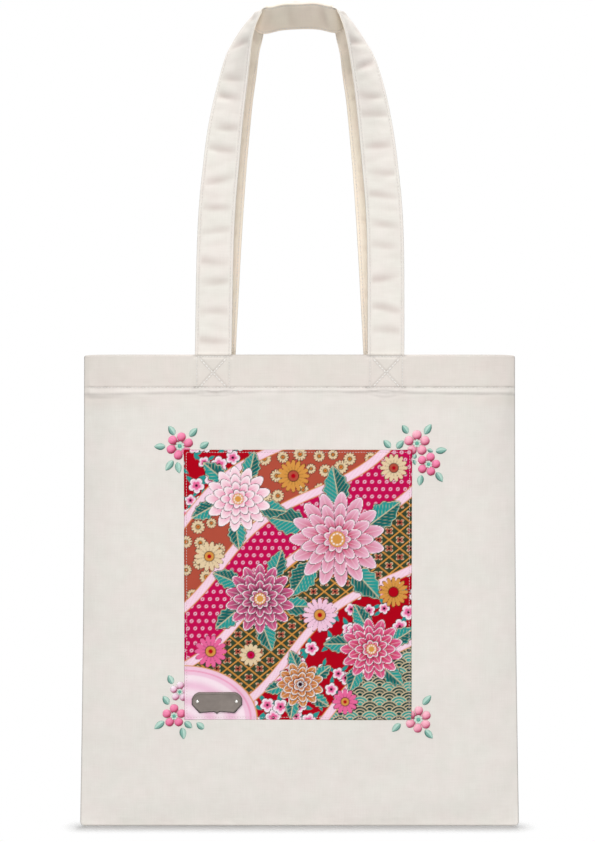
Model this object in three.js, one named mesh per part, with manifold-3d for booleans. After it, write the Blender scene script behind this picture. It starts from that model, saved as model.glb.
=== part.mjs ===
// A canvas tote bag hanging by its two shoulder handles, with an applique patch, corner embroidery
// and a small metal label on the front. Millimetres, +Z up, the front faces -Y.
// The origin is the point midway between the two handle crowns, by which the bag is carried or hung.
import * as THREE from "three";
import { mergeVertices } from "three/addons/utils/BufferGeometryUtils.js";
import Module from "manifold-3d";

const wasm = await Module();
wasm.setup();

// Driving dimensions of the bag
const BAG_WIDTH = 385; // seam to seam at the bottom
const MOUTH_WIDTH = 378; // seam to seam at the mouth, drawn in where the walls bow apart
const BAG_HEIGHT = 413; // bottom seam to top edge, along the wall
const BOTTOM_HALF_DEPTH = 5; // mid plane to a wall's outer face, just above the bottom seam
const MOUTH_HALF_DEPTH = 17; // the same at the mouth
const WING = 50; // strip beside each side seam that curves in to it
const BOTTOM_ROLL = 30; // strip above the bottom seam that curves in to it
const CORNER_RADIUS = 4;
const PANEL_THICKNESS = 1;
const GAP = 0.3; // clearance between layers

// Hem and seam allowances
const HEM_DEPTH = 29.8;
const HEM_THICKNESS = 1.6; // the folded facing inside the mouth
const SEAM_WIDTH = 11; // side seam allowance, and its distance from the seam
const SEAM_THICKNESS = 0.8;
const BOTTOM_SEAM_START = 5; // height of the bottom allowance above the seam
const BOTTOM_SEAM_WIDTH = 9;

// Handles
const STRAP_WIDTH = 32;
const STRAP_THICKNESS = 2.4;
const STRAP_TAIL = 3; // raw end of a strap, below the hem
const FRONT_FOOT = 74.9; // centre line of the bag to the middle of a front strap
const BACK_FOOT = 72.6;
const FRONT_RISE = 291.3; // top edge to the middle of the front crown
const BACK_RISE = 314.2; // the back crown is drawn up higher, behind the front one
const CROWN_CLEARANCE = 5; // mid plane to the near edge of a crown
const TWIST = THREE.MathUtils.degToRad(116); // how far a strap has turned over at the crown
const TWIST_START_SHARE = 0.436; // of a leg's length, where the strap starts to turn
const TWIST_END_SHARE = 0.929; // from here over the crown the twist stays
const TWIST_POWER = 3; // a higher power keeps the legs flat for longer
// control points of a leg, as shares of the foot and the rise
const FRONT_SHOULDER_SHARE = [[1, 0.78], [0.596, 0.92], [0.815, 1]];
const BACK_SHOULDER_SHARE = [[0.791, 0.991], [0.71, 0.539], [0.949, 1]];

// Thread
const STITCH_WIDTH = 0.8;
const STITCH_HEIGHT = 0.35;
const STITCH_LIFT = 0.15;
const STRAP_STITCH_INSET = 2.4;
const BOX_INSET = 2; // strap edge to the box and cross seam over its end
const BOX_TOP = 3; // top edge to the top of the box
const HEM_STITCH_INSET = 1.2;

// Applique patch, hung below the hem
const PATCH_WIDTH = 198;
const PATCH_HEIGHT = 235.7;
const PATCH_SHIFT = -1.4; // middle of the bag to the middle of the patch
const PATCH_DROP = 52.7; // lower edge of the hem to the top of the patch
const PATCH_THICKNESS = 0.6;
const PATCH_STITCH_INSET = 1.8;

// Embroidery, placed from the corner of the patch: sideways, up, and for a flower its ring of petals
const EMBROIDERY_HEIGHT = 1.2;
const EMBROIDERY_EDGE = 0.35;
const FLOWER_BED = 0.45; // thread under a flower's centre
const CENTRE_SHARE = 0.42; // a centre's radius against the ring
const CENTRE_HEIGHT = 1.2;
const PETAL_FILL = 0.97; // 1 makes neighbouring petals touch
const PETAL_NOTCH = 0.2; // radians of a petal's arc left off where it meets the next
const LEAF_WIDTH = 5;
const LEAF_TIP_SHARE = [0.3, 0.62]; // control points of half an outline, of half the length and the width
const LEAF_BASE_SHARE = [-0.9, 0.72];
const DOME_SHARE = [[1, 0], [1, 0.4], [0.75, 0.85], [0, 1]]; // profile, of a centre's radius and height
const HOT_PINK = 0xee6a9b;
const ROSE = 0xf59bb4;
const PALE_PINK = 0xeec2da;
const CORNERS = [
  {
    name: "upper_left",
    side: -1,
    level: 1,
    flowers: [{ at: [-3.4, 3.2], ring: 8, petals: 6, turn: 80, colour: HOT_PINK }],
    leaves: [
      { at: [-10.4, 16.8], turn: 123, length: 9.5 },
      { at: [8.4, 15.2], turn: 48, length: 9.9 },
      { at: [-20.8, 2.8], turn: 180, length: 9.8 },
      { at: [17.9, 4.1], turn: 32, length: 9.2 },
      { at: [-12.5, -13.6], turn: 233, length: 11 },
      { at: [-4.7, -15.6], turn: 280, length: 10 },
    ],
  },
  {
    name: "upper_right",
    side: 1,
    level: 1,
    flowers: [
      { at: [4.1, 5.6], ring: 7.2, petals: 5, turn: 90, colour: ROSE },
      { at: [14.1, -12.6], ring: 6.5, petals: 5, turn: 74, colour: HOT_PINK },
    ],
    leaves: [
      { at: [-6.1, 17.8], turn: 122, length: 8.7 },
      { at: [13.6, 17.9], turn: 57, length: 10.6 },
      { at: [-21.7, 5.1], turn: 132, length: 8.9 },
      { at: [-10.5, 4.7], turn: 49, length: 8.9 },
      { at: [25.2, -0.6], turn: 10, length: 9.9 },
      { at: [7.2, -26.6], turn: 259, length: 9.5 },
      { at: [23.8, -23.7], turn: 304, length: 10.2 },
    ],
  },
  {
    name: "lower_left",
    side: -1,
    level: 0,
    flowers: [
      { at: [-3.9, 24.8], ring: 5.6, petals: 5, turn: 85, colour: PALE_PINK },
      { at: [-8.9, 3.5], ring: 6.6, petals: 5, turn: 90, colour: HOT_PINK },
    ],
    leaves: [
      { at: [-11.9, 35.6], turn: 115, length: 8.5 },
      { at: [-15.9, 17.5], turn: 123, length: 9 },
      { at: [-21.9, -4.5], turn: 218, length: 10.9 },
      { at: [3.4, -4.5], turn: 320, length: 8.3 },
      { at: [13.7, -5.4], turn: 137, length: 8.5 },
      { at: [-1.3, -12], turn: 278, length: 10.5 },
    ],
  },
  {
    name: "lower_right",
    side: 1,
    level: 0,
    flowers: [{ at: [5.9, 0.3], ring: 7.8, petals: 6, turn: 87, colour: ROSE }],
    leaves: [
      { at: [13.4, 17.4], turn: 49, length: 10.9 },
      { at: [-13.4, -6.7], turn: 224, length: 10.2 },
      { at: [15.2, -12.7], turn: 313, length: 10 },
    ],
  },
];

// Metal label, placed from the lower left corner of the patch
const PLATE_WIDTH = 44;
const PLATE_HEIGHT = 19;
const PLATE_THICKNESS = 1;
const PLATE_EDGE = 0.2;
const PLATE_LEFT = 6.5; // patch edge to the label's left end
const PLATE_RAISE = 5.5; // lower patch edge to the label's point
const PLATE_CUT = [6, 6]; // upper corners, which are rounded
const PLATE_HEEL = [6.6, 7.3]; // lower corners
const PLATE_POINT = [3, 1.8]; // half width and drop of the point under the label
const PLATE_HOLLOW = 1.1; // rise of the lower edge from a lower corner to the point
const RIVET_INSET = 5; // end of the label to the middle of a rivet
const RIVET_RAISE = 1.5; // above the middle of the label
const RIVET_RADIUS = 1.7;
const SHANK_RADIUS = 0.8;
const RIVET_HEIGHT = 0.8;
const RIVET_CROWN_SHARE = [[1, 0], [0.85, 0.6], [0, 1]]; // profile, of the head's radius and height

// Colours
const CANVAS = 0xe5e0da;
const HEM_CANVAS = 0xe4ddd6;
const STRAP_CANVAS = 0xe9e3dc;
const THREAD = 0xdcd5ca;
const PRINT = 0xd4536b;
const LEAF_GREEN = 0xa4c7bc;
const CENTRE_GREEN = 0x9fd0c0;
const PEWTER = 0x8a8178;

// Places worked out from the dimensions
const TILT = Math.atan2(MOUTH_HALF_DEPTH - BOTTOM_HALF_DEPTH, BAG_HEIGHT);
const SEAM_HALF_DEPTH = PANEL_THICKNESS + GAP / 2;
const INSIDE = -PANEL_THICKNESS - GAP; // first free depth behind a panel
const STRAP_FACE = INSIDE - HEM_THICKNESS - GAP; // the face of a strap against the hem
const STRAP_MIDDLE = STRAP_FACE - STRAP_THICKNESS / 2;
const STRAP_END = HEM_DEPTH + STRAP_TAIL; // length of strap sewn inside the mouth
const BOX_WIDTH = STRAP_WIDTH - 2 * BOX_INSET;
const PATCH_BASE = BAG_HEIGHT - HEM_DEPTH - PATCH_DROP - PATCH_HEIGHT;
const PATCH_TOP = GAP + PATCH_THICKNESS;
const PLATE_BASE = PATCH_TOP + GAP;
const RIVET_SPREAD = PLATE_WIDTH / 2 - RIVET_INSET;

// Fineness of the facets
const WING_STEPS = 8;
const WALL_STEPS = 8;
const ROLL_STEPS = 4;
const CORNER_STEPS = 3;
const HEM_STEPS = 7; // steps of the wing that the facing reaches
const LEG_STEPS = 32; // steps from the foot to the crown
const CURVE_STEPS = 4;
const ROUND_STEPS = 12;
const MERGE = 1e-4;

// Walls: u runs across, v up the wall, n out of it. A wall's group has x = u, y = -n and z = v.
function halfWidth(v) {
  return THREE.MathUtils.lerp(BAG_WIDTH, MOUTH_WIDTH, v / BAG_HEIGHT) / 2;
}

function wallDepth(v) {
  return BOTTOM_HALF_DEPTH + v * Math.sin(TILT);
}

// How far the cloth falls back from the flat of the wall towards the side and bottom seams
function surface(u, v) {
  const flat = halfWidth(v) - WING;
  const side = Math.max(0, (Math.abs(u) - flat) / WING);
  const foot = Math.max(0, (BOTTOM_ROLL - v) / BOTTOM_ROLL);
  const fullness = (1 - side * side) * (1 - foot * foot);
  return (wallDepth(v) - SEAM_HALF_DEPTH) * (fullness - 1);
}

function wallPoint(u, v, lift) {
  return new THREE.Vector3(u, -(surface(u, v) + lift), v);
}

// Columns across the wall: the flat, and so many steps of each wing, drawn in at the rounded corner
function columns(v, steps) {
  const flat = halfWidth(v) - WING;
  const turn = Math.max(0, CORNER_RADIUS - v);
  const inset = CORNER_RADIUS - Math.sqrt(CORNER_RADIUS ** 2 - turn ** 2);
  const wing = Array.from({ length: steps + 1 }, (_, k) => flat + ((WING - inset) * k) / WING_STEPS);
  return [...wing.map((u) => -u).reverse(), ...wing];
}

// A closed solid between two grids of points that have the same rows and columns
function skin(high, low) {
  const rows = high.length;
  const cols = high[0].length;
  const faces = [];
  const at = (layer, r, c) => (layer * rows + r) * cols + c;
  const quad = (a, b, c, d) => faces.push(a, b, c, a, c, d);
  for (let r = 0; r < rows - 1; r++) {
    for (let c = 0; c < cols - 1; c++) {
      quad(at(0, r, c), at(0, r, c + 1), at(0, r + 1, c + 1), at(0, r + 1, c));
      quad(at(1, r, c), at(1, r + 1, c), at(1, r + 1, c + 1), at(1, r, c + 1));
    }
    quad(at(0, r, 0), at(0, r + 1, 0), at(1, r + 1, 0), at(1, r, 0));
    quad(at(0, r, cols - 1), at(1, r, cols - 1), at(1, r + 1, cols - 1), at(0, r + 1, cols - 1));
  }
  for (let c = 0; c < cols - 1; c++) {
    quad(at(0, 0, c), at(1, 0, c), at(1, 0, c + 1), at(0, 0, c + 1));
    quad(at(0, rows - 1, c), at(0, rows - 1, c + 1), at(1, rows - 1, c + 1), at(1, rows - 1, c));
  }
  const geometry = new THREE.BufferGeometry().setFromPoints([...high.flat(), ...low.flat()]);
  return geometry.setIndex(faces);
}

// Cloth that follows the wall, between two depths
function layer(rows, across, low, high) {
  const grid = (lift) => rows.map((v) => across(v).map((u) => wallPoint(u, v, lift)));
  return skin(grid(high), grid(low));
}

// A line of thread on a wall's outer face, along points of the wall
function stitchLine(points) {
  const grid = (lift) =>
    points.map(([u, v], k) => {
      const [u0, v0] = points[Math.max(0, k - 1)];
      const [u1, v1] = points[Math.min(points.length - 1, k + 1)];
      const along = Math.hypot(u1 - u0, v1 - v0);
      const du = ((v1 - v0) / along) * (STITCH_WIDTH / 2);
      const dv = ((u0 - u1) / along) * (STITCH_WIDTH / 2);
      return [wallPoint(u - du, v - dv, lift), wallPoint(u + du, v + dv, lift)];
    });
  return skin(grid(STITCH_LIFT + STITCH_HEIGHT), grid(STITCH_LIFT));
}

// An outline in u and v, raised from one depth to another
function raised(shape, low, high, edge, turn = 0) {
  const geometry = new THREE.ExtrudeGeometry(shape, {
    depth: high - low - 2 * edge,
    bevelEnabled: edge > 0,
    bevelThickness: edge,
    bevelSize: edge,
    bevelOffset: -edge,
    bevelSegments: 1,
    curveSegments: CURVE_STEPS,
  });
  geometry.translate(0, 0, low + edge);
  return geometry.rotateZ(turn).rotateX(Math.PI / 2);
}

// Joins and cuts
function solid(geometry) {
  const bare = geometry.clone();
  bare.deleteAttribute("normal");
  bare.deleteAttribute("uv");
  const merged = mergeVertices(bare, MERGE);
  return new wasm.Manifold(
    new wasm.Mesh({
      numProp: 3,
      vertProperties: new Float32Array(merged.attributes.position.array),
      triVerts: new Uint32Array(merged.index.array),
    }),
  );
}

function geometryOf(body) {
  const mesh = body.getMesh();
  const geometry = new THREE.BufferGeometry();
  geometry.setAttribute("position", new THREE.BufferAttribute(mesh.vertProperties, 3));
  geometry.setIndex(new THREE.BufferAttribute(mesh.triVerts, 1));
  return geometry;
}

function cut(geometry, tools) {
  return geometryOf(tools.reduce((body, tool) => body.subtract(tool), solid(geometry)));
}

function join(geometries) {
  return geometryOf(geometries.map(solid).reduce((whole, body) => whole.add(body)));
}

function place(group, name, geometry, colour, roughness = 0.9, metalness = 0) {
  geometry.computeVertexNormals();
  const material = new THREE.MeshStandardMaterial({ color: colour, roughness, metalness });
  const mesh = new THREE.Mesh(geometry, material);
  mesh.name = name;
  group.add(mesh);
}

// Rows up the wall, close enough together for facets of neighbouring layers to stay apart
function rowsBetween(low, high) {
  const steps = (count) => Array.from({ length: count + 1 }, (_, k) => k / count);
  const corner = steps(CORNER_STEPS).map((share) => CORNER_RADIUS * (1 - Math.cos((share * Math.PI) / 2)));
  const roll = steps(ROLL_STEPS).slice(1, -1).map((share) => BOTTOM_ROLL * share);
  const rise = BAG_HEIGHT - HEM_DEPTH - BOTTOM_ROLL;
  const wall = steps(WALL_STEPS).map((share) => BOTTOM_ROLL + rise * share);
  const rows = [...corner, ...roll.filter((v) => v > CORNER_RADIUS), ...wall];
  return [low, ...rows.filter((v) => v > low && v < high), high];
}

// Panel, hem facing and hem stitching of one wall
function panel() {
  const rows = rowsBetween(0, BAG_HEIGHT);
  return layer(rows, (v) => columns(v, WING_STEPS), -PANEL_THICKNESS, 0);
}

function hemFacing() {
  const rows = [BAG_HEIGHT - HEM_DEPTH, BAG_HEIGHT];
  return layer(rows, (v) => columns(v, HEM_STEPS), INSIDE - HEM_THICKNESS, INSIDE);
}

function hemStitch(foot) {
  const hemLine = BAG_HEIGHT - HEM_DEPTH + HEM_STITCH_INSET;
  const boxTop = BAG_HEIGHT - BOX_TOP;
  const lines = [columns(hemLine, HEM_STEPS).map((u) => [u, hemLine])];
  for (const middle of [-foot, foot]) {
    const left = middle - BOX_WIDTH / 2;
    const right = middle + BOX_WIDTH / 2;
    lines.push(
      [[left, hemLine], [left, boxTop]],
      [[right, hemLine], [right, boxTop]],
      [[left - STITCH_WIDTH / 2, boxTop], [right + STITCH_WIDTH / 2, boxTop]],
      [[left, hemLine], [right, boxTop]],
      [[right, hemLine], [left, boxTop]],
    );
  }
  return join(lines.map(stitchLine));
}

function strapEnd(middle) {
  const rows = [BAG_HEIGHT - STRAP_END, BAG_HEIGHT];
  const across = [middle - STRAP_WIDTH / 2, middle + STRAP_WIDTH / 2];
  return layer(rows, () => across, STRAP_FACE - STRAP_THICKNESS, STRAP_FACE);
}

// Handles: sections of the strap from one foot over the crown to the other
function along(controls, t) {
  if (controls.length === 1) return controls[0];
  const next = controls.slice(1).map((point, k) => controls[k].clone().lerp(point, t));
  return along(next, t);
}

function handleSections(foot, rise, shoulder) {
  const start = BAG_HEIGHT + GAP;
  const crownDepth = wallDepth(start + rise) - STRAP_WIDTH / 2 - CROWN_CLEARANCE;
  const controls = [
    new THREE.Vector2(-foot, 0),
    ...shoulder.map(([feet, rises]) => new THREE.Vector2(-foot * feet, rise * rises)),
    new THREE.Vector2(0, rise),
  ];
  const points = Array.from({ length: LEG_STEPS + 1 }, (_, k) => along(controls, k / LEG_STEPS));
  const lengths = [0];
  for (let k = 1; k < points.length; k++) {
    lengths.push(lengths[k - 1] + points[k].distanceTo(points[k - 1]));
  }
  const left = points.map((point, k) => {
    const before = points[Math.max(0, k - 1)];
    const after = k < LEG_STEPS ? points[k + 1] : new THREE.Vector2(-before.x, before.y);
    const way = k > 0 ? after.clone().sub(before).normalize() : new THREE.Vector2(0, 1);
    const share = lengths[k] / lengths[LEG_STEPS];
    const turning = (share - TWIST_START_SHARE) / (TWIST_END_SHARE - TWIST_START_SHARE);
    const turn = TWIST * THREE.MathUtils.clamp(turning, 0, 1) ** TWIST_POWER;
    const depth = THREE.MathUtils.lerp(STRAP_MIDDLE, -crownDepth, point.y / rise);
    const inward = new THREE.Vector3(way.y, 0, -way.x);
    const outward = new THREE.Vector3(0, -1, 0);
    return {
      centre: new THREE.Vector3(point.x, -depth, start + point.y),
      across: inward.clone().multiplyScalar(Math.cos(turn)).addScaledVector(outward, Math.sin(turn)),
      normal: outward.clone().multiplyScalar(Math.cos(turn)).addScaledVector(inward, -Math.sin(turn)),
    };
  });
  const mirror = new THREE.Vector3(-1, 1, 1);
  const right = left.slice(0, -1).reverse().map(({ centre, across, normal }) => ({
    centre: centre.clone().multiply(mirror),
    across: across.clone().multiply(mirror),
    normal: normal.clone().multiply(mirror),
  }));
  return [...left, ...right];
}

// A band that follows the handle, between two depths of the strap, with edges at these offsets across it
function band(sections, offsets, low, high) {
  const grid = (lift) =>
    sections.map(({ centre, across, normal }) =>
      offsets.map((side) => centre.clone().addScaledVector(across, side).addScaledVector(normal, lift)),
    );
  return skin(grid(high), grid(low));
}

// The strap has edges under its stitches, so that the thread lies along the twisted cloth
function addHandle(wall, name, foot, rise, shoulder) {
  const sections = handleSections(foot, rise, shoulder);
  const face = STRAP_THICKNESS / 2;
  const edge = STRAP_WIDTH / 2;
  const line = edge - STRAP_STITCH_INSET;
  const thread = [line - STITCH_WIDTH / 2, line + STITCH_WIDTH / 2];
  const mirrored = thread.map((side) => -side).reverse();
  const low = face + STITCH_LIFT;
  const high = low + STITCH_HEIGHT;
  place(wall, name, band(sections, [-edge, ...mirrored, ...thread, edge], -face, face), STRAP_CANVAS);
  place(wall, `${name}_inner_stitch`, band(sections, thread, low, high), THREAD);
  place(wall, `${name}_outer_stitch`, band(sections, mirrored, low, high), THREAD);
}

// One wall with its hem, strap ends and handle. The back wall is turned round, so its left is at +u.
function addWall(bag, name, leftSide, foot, rise, shoulder) {
  const wall = new THREE.Group();
  wall.position.y = -BOTTOM_HALF_DEPTH;
  wall.rotation.x = TILT;
  const turned = new THREE.Group();
  turned.rotation.z = leftSide < 0 ? 0 : Math.PI;
  turned.add(wall);
  bag.add(turned);
  place(wall, `${name}_panel`, panel(), CANVAS);
  place(wall, `${name}_hem`, hemFacing(), HEM_CANVAS);
  place(wall, `${name}_hem_stitch`, hemStitch(foot), THREAD);
  place(wall, `${name}_handle_end_left`, strapEnd(leftSide * foot), STRAP_CANVAS);
  place(wall, `${name}_handle_end_right`, strapEnd(-leftSide * foot), STRAP_CANVAS);
  addHandle(wall, `${name}_handle`, foot, rise, shoulder);
  return wall;
}

// Seam allowances, sewn flat against the inside of the back panel
function addSeams(wall) {
  const low = INSIDE - SEAM_THICKNESS;
  const bottomTop = BOTTOM_SEAM_START + BOTTOM_SEAM_WIDTH;
  const bottomRows = rowsBetween(BOTTOM_SEAM_START, bottomTop);
  const bottom = layer(bottomRows, (v) => columns(v, 0), low, INSIDE);
  place(wall, "bottom_seam", bottom, CANVAS);
  const rows = rowsBetween(bottomTop + GAP, BAG_HEIGHT - HEM_DEPTH - GAP);
  const wing = (v) => [2, 1.5, 1].map((widths) => halfWidth(v) - SEAM_WIDTH * widths);
  place(wall, "left_side_seam", layer(rows, wing, low, INSIDE), CANVAS);
  const other = (v) => wing(v).map((u) => -u).reverse();
  place(wall, "right_side_seam", layer(rows, other, low, INSIDE), CANVAS);
}

// Patch and its edge stitching
function rectangle(width, height) {
  const shape = new THREE.Shape();
  shape.moveTo(-width / 2, 0);
  shape.lineTo(width / 2, 0);
  shape.lineTo(width / 2, height);
  shape.lineTo(-width / 2, height);
  shape.closePath();
  return shape;
}

function onPatch(geometry) {
  return geometry.translate(PATCH_SHIFT, 0, PATCH_BASE);
}

function addPatch(wall) {
  const cloth = raised(rectangle(PATCH_WIDTH, PATCH_HEIGHT), GAP, PATCH_TOP, 0);
  place(wall, "print_patch", onPatch(cloth), PRINT);
  const line = (inset, low, high) =>
    raised(rectangle(PATCH_WIDTH - 2 * inset, PATCH_HEIGHT - 2 * inset), low, high, 0).translate(0, 0, inset);
  const low = PATCH_TOP + STITCH_LIFT;
  const high = low + STITCH_HEIGHT;
  const hole = solid(line(PATCH_STITCH_INSET + STITCH_WIDTH, low - STITCH_HEIGHT, high + STITCH_HEIGHT));
  const thread = cut(line(PATCH_STITCH_INSET, low, high), [hole]);
  place(wall, "patch_stitch", onPatch(thread), THREAD);
}

// Embroidered corners
function flowerShape(ring, petals, grow) {
  const shape = new THREE.Shape();
  const step = (2 * Math.PI) / petals;
  const radius = ring * Math.sin(step / 2) * PETAL_FILL + grow;
  const sweep = Math.PI / 2 + step / 2 - PETAL_NOTCH;
  for (let k = 0; k < petals; k++) {
    const angle = k * step;
    shape.absarc(ring * Math.cos(angle), ring * Math.sin(angle), radius, angle - sweep, angle + sweep);
  }
  shape.closePath();
  return shape;
}

function leafShape(length) {
  const half = length / 2;
  const shape = new THREE.Shape();
  shape.moveTo(half, 0);
  const tip = [LEAF_TIP_SHARE[0] * half, LEAF_TIP_SHARE[1] * LEAF_WIDTH];
  const base = [LEAF_BASE_SHARE[0] * half, LEAF_BASE_SHARE[1] * LEAF_WIDTH];
  shape.bezierCurveTo(...tip, ...base, -half, 0);
  shape.bezierCurveTo(base[0], -base[1], tip[0], -tip[1], half, 0);
  return shape;
}

function centreDome(radius, base) {
  const profile = DOME_SHARE.map(([out, up]) => new THREE.Vector2(radius * out, base + CENTRE_HEIGHT * up));
  const points = [new THREE.Vector2(0, base), ...profile];
  return new THREE.LatheGeometry(points, ROUND_STEPS).rotateX(Math.PI);
}

function addEmbroidery(wall) {
  const top = GAP + EMBROIDERY_HEIGHT;
  const deep = 2 * (top + CENTRE_HEIGHT);
  const edge = rectangle(PATCH_WIDTH + 2 * GAP, PATCH_HEIGHT + 2 * GAP);
  const patchRoom = solid(onPatch(raised(edge, -deep, deep, 0).translate(0, 0, -GAP)));
  for (const corner of CORNERS) {
    const at = ([du, dv]) => [
      PATCH_SHIFT + (corner.side * PATCH_WIDTH) / 2 + du,
      0,
      PATCH_BASE + corner.level * PATCH_HEIGHT + dv,
    ];
    const flowerRoom = corner.flowers.map(({ at: spot, ring, petals, turn }) => {
      const angle = THREE.MathUtils.degToRad(turn);
      return solid(raised(flowerShape(ring, petals, GAP), -deep, deep, 0, angle).translate(...at(spot)));
    });
    corner.flowers.forEach(({ at: spot, ring, petals, turn, colour }, k) => {
      const angle = THREE.MathUtils.degToRad(turn);
      const name = `flower_${corner.name}_${k + 1}`;
      const radius = CENTRE_SHARE * ring;
      const petalRing = raised(flowerShape(ring, petals, 0), GAP, top, EMBROIDERY_EDGE, angle);
      const well = new THREE.CylinderGeometry(radius + GAP, radius + GAP, deep, ROUND_STEPS);
      well.translate(0, -GAP - FLOWER_BED - deep / 2, 0);
      const flower = cut(petalRing, [solid(well)]).translate(...at(spot));
      const centre = centreDome(radius, GAP + FLOWER_BED + STITCH_LIFT).translate(...at(spot));
      place(wall, name, cut(flower, [patchRoom]), colour, 0.55);
      place(wall, `${name}_centre`, cut(centre, [patchRoom]), CENTRE_GREEN, 0.55);
    });
    corner.leaves.forEach(({ at: spot, turn, length }, k) => {
      const angle = THREE.MathUtils.degToRad(turn);
      const leaf = raised(leafShape(length), GAP, top, EMBROIDERY_EDGE, angle).translate(...at(spot));
      const name = `leaf_${corner.name}_${k + 1}`;
      place(wall, name, cut(leaf, [patchRoom, ...flowerRoom]), LEAF_GREEN, 0.55);
    });
  }
}

// Metal label with two rivets
function plateShape() {
  const right = PLATE_WIDTH / 2;
  const top = PLATE_HEIGHT / 2;
  const shoulder = PLATE_POINT[1] - top;
  const heel = shoulder - PLATE_HOLLOW;
  const round = [right - PLATE_CUT[0] / 4, top - PLATE_CUT[1] / 4];
  const shape = new THREE.Shape();
  shape.moveTo(0, -top);
  shape.quadraticCurveTo(PLATE_POINT[0] / 3, shoulder, PLATE_POINT[0], shoulder);
  shape.lineTo(right - PLATE_HEEL[0], heel);
  shape.lineTo(right, heel + PLATE_HEEL[1]);
  shape.lineTo(right, top - PLATE_CUT[1]);
  shape.quadraticCurveTo(...round, right - PLATE_CUT[0], top);
  shape.lineTo(PLATE_CUT[0] - right, top);
  shape.quadraticCurveTo(-round[0], round[1], -right, top - PLATE_CUT[1]);
  shape.lineTo(-right, heel + PLATE_HEEL[1]);
  shape.lineTo(PLATE_HEEL[0] - right, heel);
  shape.lineTo(-PLATE_POINT[0], shoulder);
  shape.quadraticCurveTo(-PLATE_POINT[0] / 3, shoulder, 0, -top);
  for (const side of [-1, 1]) {
    const hole = new THREE.Path();
    hole.absarc(side * RIVET_SPREAD, RIVET_RAISE, SHANK_RADIUS + GAP, 0, 2 * Math.PI);
    shape.holes.push(hole);
  }
  return shape;
}

function rivet() {
  const head = PLATE_BASE + PLATE_THICKNESS + STITCH_LIFT;
  const points = [
    new THREE.Vector2(0, PATCH_TOP + STITCH_LIFT),
    new THREE.Vector2(SHANK_RADIUS, PATCH_TOP + STITCH_LIFT),
    new THREE.Vector2(SHANK_RADIUS, head),
    ...RIVET_CROWN_SHARE.map(([out, up]) => new THREE.Vector2(RIVET_RADIUS * out, head + RIVET_HEIGHT * up)),
  ];
  return new THREE.LatheGeometry(points, ROUND_STEPS).rotateX(Math.PI);
}

function addLabel(wall) {
  const left = PATCH_SHIFT - PATCH_WIDTH / 2 + PLATE_LEFT;
  const middle = [left + PLATE_WIDTH / 2, 0, PATCH_BASE + PLATE_RAISE + PLATE_HEIGHT / 2];
  const plate = raised(plateShape(), PLATE_BASE, PLATE_BASE + PLATE_THICKNESS, PLATE_EDGE);
  place(wall, "label_plate", plate.translate(...middle), PEWTER, 0.4, 0.8);
  for (const [name, side] of [["left", -1], ["right", 1]]) {
    const stud = rivet().translate(...middle).translate(side * RIVET_SPREAD, 0, RIVET_RAISE);
    place(wall, `label_rivet_${name}`, stud, PEWTER, 0.3, 0.9);
  }
}

const bag = new THREE.Group();
const frontWall = addWall(bag, "front", -1, FRONT_FOOT, FRONT_RISE, FRONT_SHOULDER_SHARE);
const backWall = addWall(bag, "back", 1, BACK_FOOT, BACK_RISE, BACK_SHOULDER_SHARE);
addSeams(backWall);
addPatch(frontWall);
addEmbroidery(frontWall);
addLabel(frontWall);

// The origin goes to the mean height of the two crowns
const crownHeight = BAG_HEIGHT + GAP + (FRONT_RISE + BACK_RISE) / 2;
bag.position.z = -crownHeight * Math.cos(TILT);

export default bag;
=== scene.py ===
# The looks of a canvas tote bag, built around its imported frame. Metres, +Z up, the front faces -Y.
import math

import bmesh
import bpy
import numpy as np
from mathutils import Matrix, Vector


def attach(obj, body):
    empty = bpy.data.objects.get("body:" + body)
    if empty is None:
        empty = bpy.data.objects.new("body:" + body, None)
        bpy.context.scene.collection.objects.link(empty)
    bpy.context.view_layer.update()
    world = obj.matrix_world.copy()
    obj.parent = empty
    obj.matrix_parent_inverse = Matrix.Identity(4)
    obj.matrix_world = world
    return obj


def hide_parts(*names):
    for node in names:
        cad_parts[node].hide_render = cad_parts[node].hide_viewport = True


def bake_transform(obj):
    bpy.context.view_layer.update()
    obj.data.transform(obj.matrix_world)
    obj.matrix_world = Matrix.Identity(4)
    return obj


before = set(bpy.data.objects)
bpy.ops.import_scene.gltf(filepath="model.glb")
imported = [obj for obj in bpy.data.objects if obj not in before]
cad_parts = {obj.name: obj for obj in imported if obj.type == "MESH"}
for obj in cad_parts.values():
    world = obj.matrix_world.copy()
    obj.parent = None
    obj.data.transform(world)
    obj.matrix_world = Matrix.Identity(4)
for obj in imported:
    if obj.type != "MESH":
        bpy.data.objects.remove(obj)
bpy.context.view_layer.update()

MM = 0.001

# Sizes that the solids have too
BAG_WIDTH = 0.385
MOUTH_WIDTH = 0.378
BAG_HEIGHT = 0.413
BOTTOM_HALF_DEPTH = 0.005
MOUTH_HALF_DEPTH = 0.017
WING = 0.050
BOTTOM_ROLL = 0.030
CORNER_RADIUS = 0.004
PANEL_THICKNESS = 0.001
GAP = 0.0003
HEM_DEPTH = 0.0298
HEM_THICKNESS = 0.0016
SEAM_WIDTH = 0.011
SEAM_THICKNESS = 0.0008
BOTTOM_SEAM_START = 0.005
BOTTOM_SEAM_WIDTH = 0.009
STRAP_WIDTH = 0.032
STRAP_THICKNESS = 0.0024
STRAP_TAIL = 0.003
CROWN_CLEARANCE = 0.005
STRAP_STITCH_INSET = 0.0024
BOX_INSET = 0.002
HEM_STITCH_INSET = 0.0012
PATCH_WIDTH = 0.198
PATCH_HEIGHT = 0.2357
PATCH_SHIFT = -0.0014
PATCH_DROP = 0.0527

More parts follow.
